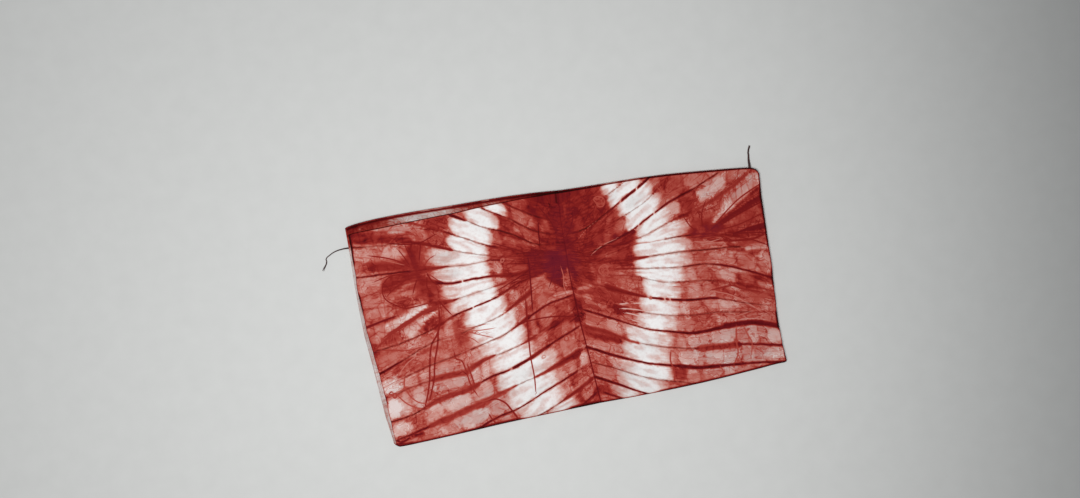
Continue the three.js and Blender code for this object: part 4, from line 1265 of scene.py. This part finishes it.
mesh = cloth.data
cut = np.empty(len(mesh.loops) * 2, np.float32)
mesh.uv_layers["Cut"].data.foreach_get("uv", cut)
cut = cut.reshape(-1, 2)
face_count = len(mesh.polygons)
face_number = np.arange(face_count)
face_of_corner = np.repeat(face_number, [len(face.vertices) for face in mesh.polygons])
share_p, share_s = cut[:, 0] / FLAT[0], cut[:, 1] / FLAT[1]
centre = np.stack([np.bincount(face_of_corner, cut[:, k], face_count) for k in (0, 1)], axis=1)
centre /= np.bincount(face_of_corner, minlength=face_count)[:, None]
outside = face_number < flat_faces
inside = (face_number >= flat_faces) & (face_number < 2 * flat_faces)
top_face = outside & (centre[:, 0] < PLY_WIDTH * MM) & (centre[:, 1] < top_end)


def into(room, share):
    return room[0] + (room[1] - room[0]) * share


on_top_face = top_face[face_of_corner]
u = np.where(on_top_face, into(SIDE_ROOM, cut[:, 0] / (PLY_WIDTH * MM)), into(SIDE_ROOM, share_s))
v = np.where(inside[face_of_corner], into(INSIDE_ROOM, share_p), into(OUTSIDE_ROOM, share_p))
v = np.where(on_top_face, into(TOP_ROOM, 1 - cut[:, 1] / top_end), v)
rim = ~(outside | inside)[face_of_corner]
v = v + np.where(rim & (corner_points(mesh) >= flat_points), RIM_ROOM, 0)
bake_map = mesh.uv_layers.new(name="OFBake")
bake_map.data.foreach_set("uv", np.stack([u, v], axis=1).astype(np.float32).ravel())
print(f"map: {top_face.sum()} top faces, {rim.sum() // 4} faces on the cut edges")

# %% [markdown]
# ## The dye
#
# The colour of the cloth depends on how much dye each place took. That is built up here as one number,
# the depth of dye: first the patches, the cells and the pools inside the pleats, then the white band,
# and over them the dark lines and creases. Painted shade at the edges and painted highlights beside the
# lines, wrinkles and pale creases go into the same number. A ramp turns the depth into a colour, from
# undyed white to the deepest red, and a little grey for wear and painted shade, brown for painted shadow
# and purple is mixed in last. A painted picture could carry all this too, but formulas stay sharp up
# close and follow the cloth round its folds.

# %% A way to write node formulas
def linear(colour):
    """A colour as it looks on a screen, 0 to 255, as the light it sends."""
    return [((c / 255 + 0.055) / 1.055) ** 2.4 if c > 10 else c / 255 / 12.92 for c in colour]


class Finish:
    """A material whose nodes are added one formula at a time."""

    def __init__(self, name):
        self.material = bpy.data.materials.new(name)
        self.material.use_nodes = True
        self.tree = self.material.node_tree
        self.shader = self.tree.nodes["Principled BSDF"]

    def add(self, kind, inputs=(), output=0, **settings):
        made = self.tree.nodes.new(kind)
        for setting, value in settings.items():
            setattr(made, setting, value)
        for socket, value in dict(inputs).items():
            self.feed(made.inputs[socket], value)
        return made.outputs[output]

    def feed(self, socket, value):
        if isinstance(value, bpy.types.NodeSocket):
            self.tree.links.new(value, socket)
        else:
            socket.default_value = value

    def calc(self, operation, *values, clamp=False):
        return self.add("ShaderNodeMath", enumerate(values), operation=operation, use_clamp=clamp)

    def chain(self, operation, values):
        result, *others = values
        for value in others:
            result = self.calc(operation, result, value)
        return result

    def plus(self, *values):
        return self.chain("ADD", values)

    def times(self, *values):
        return self.chain("MULTIPLY", values)

    def minus(self, a, b):
        return self.calc("SUBTRACT", a, b)

    def scaled(self, value, by, onto):
        """The value times by, plus onto."""
        return self.calc("MULTIPLY_ADD", value, by, onto)

    def rise(self, value, low, high):
        """0 below low and 1 above high, with a smooth rise between."""
        inputs = {"Value": value, "From Min": low, "From Max": high}
        return self.add("ShaderNodeMapRange", inputs, interpolation_type="SMOOTHSTEP")

    def fall(self, value, low, high):
        """1 below low and 0 above high."""
        return self.minus(1.0, self.rise(value, low, high))

    def blend(self, share, a, b):
        """From a to b by a share."""
        return self.plus(a, self.times(share, self.minus(b, a)))

    def mark(self, name):
        return self.add("ShaderNodeAttribute", output="Fac", attribute_name=name)

    def place(self, a, b, scale_a=1.0, scale_b=1.0, seed=0.0):
        """A place for a texture, from two numbers."""
        inputs = {0: self.times(a, scale_a), 1: self.times(b, scale_b), 2: seed}
        return self.add("ShaderNodeCombineXYZ", inputs)

    def noise(self, vector, scale=1.0, detail=2.0, roughness=0.5):
        inputs = {"Vector": vector, "Scale": scale, "Detail": detail, "Roughness": roughness}
        return self.add("ShaderNodeTexNoise", inputs)

    def cell_edge(self, vector, randomness):
        """The distance to the edge of the cell that each place is in."""
        inputs = {"Vector": vector, "Scale": 1.0, "Randomness": randomness}
        return self.add("ShaderNodeTexVoronoi", inputs, feature="DISTANCE_TO_EDGE")

    def cell_tone(self, vector, randomness):
        """A number from 0 to 1 for each cell."""
        inputs = {"Vector": vector, "Scale": 1.0, "Randomness": randomness}
        return self.add("ShaderNodeTexVoronoi", inputs, output="Color", feature="F1")

    def ramp(self, value, stops):
        made = self.tree.nodes.new("ShaderNodeValToRGB")
        elements = made.color_ramp.elements
        while len(elements) < len(stops):
            elements.new(0.5)
        for element, (at, colour) in zip(elements, stops):
            element.position = at
            element.color = (*linear(colour), 1)
        self.feed(made.inputs[0], value)
        return made.outputs[0]


# %% Colours of the dye
# A depth of dye, and how it looks on a screen.
DYE_COLOURS = [
    (0.00, (240, 238, 237)), (0.08, (230, 218, 216)), (0.20, (213, 174, 166)), (0.32, (202, 143, 133)),
    (0.44, (188, 106, 94)), (0.56, (171, 73, 61)), (0.68, (153, 48, 40)), (0.82, (131, 28, 24)),
    (0.94, (116, 20, 21)), (1.04, (103, 13, 20)), (1.13, (78, 6, 5)), (1.25, (34, 6, 5)),
]
DEEPEST = DYE_COLOURS[-1][0]
print(f"dye: {len(DYE_COLOURS)} colours, the deepest at {DEEPEST}")

# %% Noise and cells that the dye follows
# Some of the noise lies even on the cloth, and some is drawn out along the pleats.
cotton = Finish("dyed_cotton")
# Short names, because the formulas are long.
fall, plus, times, minus, scaled = cotton.fall, cotton.plus, cotton.times, cotton.minus, cotton.scaled
rise, blend, mark = cotton.rise, cotton.blend, cotton.mark
body_place = cotton.add("ShaderNodeTexCoord", output="Object")
station_mark, pleat_mark, gap_mark = mark("station"), mark("pleat"), mark("gap")
wobble = cotton.noise(body_place, scale=70, detail=3)
mottle = cotton.noise(body_place, scale=105, detail=2)
creep = cotton.noise(body_place, scale=190, detail=3, roughness=0.6)
fine = cotton.noise(body_place, scale=250, detail=2)
grain = cotton.noise(body_place, scale=650, detail=2)
streaks = cotton.noise(cotton.place(station_mark, pleat_mark, 1 / 30, 8.0, 7.7), detail=3)
folds_place = cotton.place(station_mark, pleat_mark, 1 / 26, 2.1, 5.5)


def centred(value, by):
    """Noise that swings about 0, by half of this either way."""
    return times(minus(value, 0.5), by)


# Cells drawn out along the pleats: small ones, long ones, and facets with bent edges, whose edges
# show in some places only.
small_place = cotton.place(station_mark, pleat_mark, 1 / 12, 2.2, 4.2)
small_edge = cotton.cell_edge(small_place, 0.9)
small_tone = cotton.cell_tone(small_place, 0.9)
long_edge = cotton.cell_edge(cotton.place(station_mark, pleat_mark, 1 / 38, 3.4, 2.8), 1.0)
bent_station = plus(station_mark, centred(wobble, 30.0))
bent_pleat = plus(pleat_mark, centred(mottle, 0.9))
facet_place = cotton.place(bent_station, bent_pleat, 1 / 20, 1.9, 6.4)
facet_edge = cotton.cell_edge(facet_place, 1.0)
facet_tone = cotton.cell_tone(facet_place, 1.0)
facet_hold = rise(cotton.noise(body_place, scale=30, detail=1), 0.38, 0.6)
print(f"noise and cells: {len(cotton.tree.nodes)} nodes")

# %% Patches, cells and pools
# Each pool has a darker edge, and each facet of crumpled cloth a dark edge with a painted highlight inside
# it.
depth = plus(mark("dye"), centred(streaks, 0.22), centred(small_tone, 0.14))
depth = scaled(fall(small_edge, 0.02, 0.12), 0.11, depth)
pool_in = plus(mark("pool"), centred(creep, 2.4))
pool_middle = plus(mark("pool_dye"), centred(small_tone, 0.07))
depth = blend(times(rise(pool_in, -2.0, 5.0), 0.94), depth, pool_middle)
depth = scaled(fall(cotton.calc("ABSOLUTE", pool_in), 0.1, 1.1), 0.06, depth)
depth = plus(depth, centred(mottle, 0.20), centred(fine, 0.12), centred(facet_tone, 0.22))
depth = scaled(times(fall(facet_edge, 0.012, 0.05), facet_hold), 0.13, depth)
facet_highlight = minus(rise(facet_edge, 0.04, 0.07), rise(facet_edge, 0.08, 0.15))
depth = scaled(times(facet_highlight, facet_hold), -0.08, depth)
print(f"patches and pools: {len(cotton.tree.nodes)} nodes")

# %% Streaks and wrinkles
# The darkest places are streaked along their pleats, and winding wrinkles run over all, each with a
# painted highlight beside it, strong in some places and absent in others. Where the cloth was pulled flat
# they fade.
DARKEST_PATCH = 1.05
LEAST_DYE = 0.12  # outside the white band
deep_streaks = cotton.noise(cotton.place(station_mark, pleat_mark, 1 / 16, 5.0, 1.9), detail=2)
deep_streaks = times(centred(deep_streaks, 0.6), rise(depth, 0.66, 0.86))
depth = cotton.calc("MINIMUM", plus(depth, deep_streaks), DARKEST_PATCH)
wrinkle = times(fall(long_edge, 0.0, 0.055), rise(streaks, 0.36, 0.6))
depth = scaled(wrinkle, 0.16, depth)
bent_station = plus(station_mark, centred(mottle, 8.0))
bent_pleat = plus(pleat_mark, centred(wobble, 0.5))
net = cotton.noise(cotton.place(bent_station, bent_pleat, 1 / 24, 2.2, 3.3), detail=0.5)
net = cotton.calc("ABSOLUTE", minus(net, 0.5))
net_hold = rise(cotton.noise(body_place, scale=38, detail=2), 0.40, 0.62)
depth = scaled(times(fall(net, 0.004, 0.018), net_hold), 0.12, depth)
net_highlight = minus(rise(net, 0.014, 0.03), rise(net, 0.036, 0.065))
depth = scaled(times(net_highlight, net_hold), -0.08, depth)
depth = cotton.calc("MAXIMUM", depth, LEAST_DYE)
smooth_dye = plus(mark("dye"), plus(centred(streaks, 0.2), centred(mottle, 0.1)))
depth = blend(mark("calm"), depth, smooth_dye)
print(f"streaks and wrinkles: {len(cotton.tree.nodes)} nodes")

# %% The white band
# Its edge, the pink that crept in and the faint marks of its folds.
band = plus(mark("bare"), plus(centred(creep, 3.4), centred(mottle, 4.0)))
band_folds = rise(cotton.noise(folds_place, scale=1.3, detail=0.5), 0.46, 0.7)
faint = times(rise(fine, 0.42, 0.74), 0.05)
faint = scaled(band_folds, 0.12, faint)
faint = scaled(fall(band, 0.0, 12.0), scaled(streaks, 0.3, 0.02), faint)
depth = blend(rise(band, -3.2, 3.6), depth, faint)
print(f"white band: {len(cotton.tree.nodes)} nodes")

# %% [markdown]
# ## Lines, creases and edges in the dye
#
# A pleat line on real cloth is not a drawn stroke. Dye bled out of it on both sides, a painted highlight
# runs beside it, and the line itself wavers and breaks up where the cloth was bound tight. So each of these
# is laid on by itself. A thin line keeps little dye and is mostly shadow, which is mixed in as brown.

# %% Pleat lines
# How far each place lies from the nearest line, and how strongly that line shows there.
in_pleat = cotton.calc("FRACT", plus(pleat_mark, centred(wobble, 0.08)))
to_line = times(cotton.calc("MINIMUM", in_pleat, minus(1.0, in_pleat)), gap_mark)
gathered = rise(gap_mark, 5.0, 12.0)  # lines that run together are lost in the dark
line_ink_mark = times(mark("ink"), gathered)
line_width = mark("ink_width")
half_width = times(line_width, 0.5)

# The dye that bled out of a line, and a painted highlight beside it, which makes the cloth there paler.
BLEED_DYE = 0.6
HIGHLIGHT_OFFSET = 2.3  # from the edge of a line to the middle of the painted highlight beside it
bleed = fall(to_line, times(half_width, 0.6), scaled(half_width, 1.4, 3.4))
bleed = times(bleed, line_ink_mark, rise(mottle, 0.34, 0.66))
depth = cotton.calc("MAXIMUM", depth, blend(times(bleed, 0.5), depth, BLEED_DYE))
# The painted highlight: the depth of dye is lowered in a band beside each line.
beside = cotton.calc("ABSOLUTE", minus(to_line, plus(half_width, HIGHLIGHT_OFFSET)))
beside = times(fall(beside, 0.2, 1.5), line_ink_mark, rise(creep, 0.35, 0.65))
depth = cotton.calc("MAXIMUM", scaled(beside, -0.13, depth), 0.0)

# The line itself, broken into dashes, and more so where it is thin.
dashes = cotton.noise(cotton.place(station_mark, pleat_mark, 1 / 9, 7.0, 9.9), detail=2)
broken = times(fall(dashes, 0.34, 0.58), blend(rise(line_width, 1.6, 3.4), 0.62, 0.16))
line = fall(to_line, times(half_width, 0.5), scaled(half_width, 1.25, 0.4))
line = times(line, minus(1.0, broken), line_ink_mark)
line_dye = plus(mark("ink_dye"), centred(plus(streaks, centred(fine, 0.6)), 0.25))

# A wedge stains the cloth all over, a wide line nearly as much, and a thin one hardly.
wedge = fall(mark("ink_dye"), 0.9, 0.98)
stain = cotton.calc("MAXIMUM", blend(rise(line_width, 0.9, 2.4), 0.15, 0.95), wedge)
depth = blend(times(line, stain), depth, cotton.calc("MAXIMUM", line_dye, depth))
thin = times(fall(line_width, 1.2, 2.6), minus(1.0, wedge))
shadow = times(line, thin, 0.75)
print(f"pleat lines: {len(cotton.tree.nodes)} nodes")

# %% Creases, the crease in the middle and the edges
MIDDLE_DYE = 1.1
for set_name in CREASES:
    away = cotton.calc("ABSOLUTE", mark(f"{set_name}_away"))
    width = mark(f"{set_name}_width")
    cover = fall(away, times(width, 0.22), scaled(width, 0.55, 0.5))
    cover = times(cover, rise(mark(f"{set_name}_hold"), 0.1, 0.6))
    cover = cotton.calc("MULTIPLY", cover, scaled(streaks, 0.3, 0.8), clamp=True)
    depth = blend(cover, depth, mark(f"{set_name}_dye"))
middle = cotton.calc("ABSOLUTE", mark("middle"))
depth = blend(times(fall(middle, 0.4, 1.7), mark("middle_ink")), depth, MIDDLE_DYE)
# The dark edges: dye gathered at the edges, and painted shade where the layers part and the folds turn
# away.
depth = blend(times(fall(mark("edge"), 0.3, 1.1), mark("edge_dye_and_shade")), depth, DEEPEST)
depth = plus(depth, centred(grain, 0.07))
print(f"creases and edges: {len(cotton.tree.nodes)} nodes")

# %% From the depth of dye to a colour
WEAR_AND_SHADE_GREY = (166, 164, 162)
SHADOW_BROWN = (44, 15, 13)
KNOT_PURPLE = (106, 24, 44)
# The grey stands partly for wear and partly for painted shade, and it follows the folds of the pleats.
folds_tone = scaled(rise(cotton.noise(folds_place, detail=3), 0.38, 0.66), 0.5, 0.5)
wear_and_shade_greyed = times(fall(depth, 0.34, 0.62), mark("grey_wear_and_shade"), folds_tone, 0.42)
purpled = times(mark("purple"), rise(depth, 0.7, 0.95), 0.45)
stops = [(at / DEEPEST, colour) for at, colour in DYE_COLOURS]
dyed = cotton.ramp(cotton.calc("DIVIDE", depth, DEEPEST), stops)
for share, colour in ((wear_and_shade_greyed, WEAR_AND_SHADE_GREY), (shadow, SHADOW_BROWN), (purpled, KNOT_PURPLE)):
    mix_inputs = {"Factor": share, 6: dyed, 7: (*linear(colour), 1)}
    dyed = cotton.add("ShaderNodeMix", mix_inputs, output=2, data_type="RGBA")
cotton.feed(cotton.shader.inputs["Base Color"], dyed)
print(f"dyed: {len(cotton.tree.nodes)} nodes")

# %% [markdown]
# ## The surface of the cotton
#
# Cotton is matt, and its skin is crumpled between the pleats. The pleats and folds are real shapes, and
# only what is finer is left to a bump in the light: the crumples, the grooves of the pleat lines and of
# the crease in the middle, and a faint ribbing. Single threads would be too fine to see from here, so
# the ribs are shallow waves that run both ways and stand for a few threads each.

# %% Ribs, wrinkles and sheen
RIB_SCALE = 130.0  # of the wave texture, which makes a rib every 2.4 mm
RIB_HEIGHT = 0.03  # millimetres, as are the heights below
CRUMPLE_HEIGHT = 0.6
GROOVE_DEPTH = 0.45
MIDDLE_DEPTH = 0.3
rib_inputs = {"Vector": cotton.add("ShaderNodeUVMap", uv_map="Cut"), "Scale": RIB_SCALE}
ribs = [
    cotton.add("ShaderNodeTexWave", rib_inputs, output="Fac", wave_type="BANDS", bands_direction=direction)
    for direction in ("X", "Y")
]
crumple = cotton.noise(cotton.place(station_mark, pleat_mark, 1 / 7, 3.0, 2.2), detail=4, roughness=0.6)
surface = scaled(crumple, CRUMPLE_HEIGHT, times(plus(*ribs), RIB_HEIGHT / 2))
groove = times(fall(to_line, 0.0, 1.6), gathered, mark("ink"))
surface = scaled(groove, -GROOVE_DEPTH, surface)
surface = scaled(rise(middle, 0.0, 1.2), MIDDLE_DEPTH, surface)
bump = cotton.add("ShaderNodeBump", {"Height": surface, "Distance": MM, "Strength": 1.0})
cotton.feed(cotton.shader.inputs["Normal"], bump)
cotton.feed(cotton.shader.inputs["Roughness"], scaled(grain, 0.16, 0.66))
cotton.shader.inputs["Specular IOR Level"].default_value = 0.06
cotton.shader.inputs["Sheen Weight"].default_value = 0.02
cotton.shader.inputs["Sheen Roughness"].default_value = 0.4
cloth.data.materials.clear()
cloth.data.materials.append(cotton.material)
print(f"dyed cotton: {len(cotton.tree.nodes)} nodes")

# %% Thread finish
yarn = Finish("tying_thread")
yarn_place = yarn.add("ShaderNodeTexCoord", output="Object")
fleck = yarn.noise(yarn_place, scale=900, detail=3)
yarn_stops = [(0.3, (34, 12, 12)), (0.55, (58, 24, 22)), (0.75, (98, 46, 40))]
yarn.feed(yarn.shader.inputs["Base Color"], yarn.ramp(fleck, yarn_stops))
yarn_bump = yarn.add("ShaderNodeBump", {"Height": fleck, "Distance": 0.2 * MM, "Strength": 0.8})
yarn.feed(yarn.shader.inputs["Normal"], yarn_bump)
yarn.shader.inputs["Roughness"].default_value = 0.85
yarn.shader.inputs["Sheen Weight"].default_value = 0.2
for piece in threads.values():
    piece.data.materials.clear()
    piece.data.materials.append(yarn.material)
print(f"tying thread: {len(yarn.tree.nodes)} nodes")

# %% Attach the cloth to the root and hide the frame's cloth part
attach(cloth, "root")
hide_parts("cloth")
print(f"cloth: one sheet, {FLAT[0]:.3f} by {FLAT[1]:.3f} m when flat")

# %% [markdown]
# ## Table and light
#
# The table is a plain pale grey. One broad soft lamp hangs over the left half of the view and leans
# away to the left, so that the light falls off towards the right, and a dim even light fills the rest.

# %% Table
bpy.ops.object.select_all(action="DESELECT")
bpy.ops.mesh.primitive_plane_add(size=8)
table = bpy.context.object
table.name = "table"
TABLE_GREYS = [(0.3, (205, 206, 204)), (0.7, (208, 209, 207))]
tabletop = Finish("pale_table")
speck = tabletop.noise(tabletop.add("ShaderNodeTexCoord", output="Object"), scale=40, detail=4)
tabletop.feed(tabletop.shader.inputs["Base Color"], tabletop.ramp(speck, TABLE_GREYS))
tabletop.shader.inputs["Roughness"].default_value = 0.7
table.data.materials.append(tabletop.material)
print(f"table: {table.dimensions.x:.0f} m wide")

# %% Light
LAMP_PLACE = (-0.216, -0.048, 1.48)
LAMP_AIM = (-1.18, 0.057, 0)
bpy.ops.object.light_add(type="SPOT", location=LAMP_PLACE)
lamp = bpy.context.object
lamp.name = "overhead"
lamp.data.energy = 77
lamp.data.shadow_soft_size = 0.25
lamp.data.spot_size = math.radians(155)
lamp.data.spot_blend = 0.48
lamp.rotation_euler = (Vector(LAMP_AIM) - Vector(LAMP_PLACE)).to_track_quat("-Z", "Y").to_euler()
world = bpy.context.scene.world or bpy.data.worlds.new("room")
bpy.context.scene.world = world
world.use_nodes = True
world.node_tree.nodes["Background"].inputs["Color"].default_value = (0.95, 0.97, 1.0, 1)
world.node_tree.nodes["Background"].inputs["Strength"].default_value = 0.19
bpy.context.scene.view_settings.view_transform = "Standard"
print(f"lamp: {lamp.data.energy:.0f} W, {LAMP_PLACE[2]} m up")
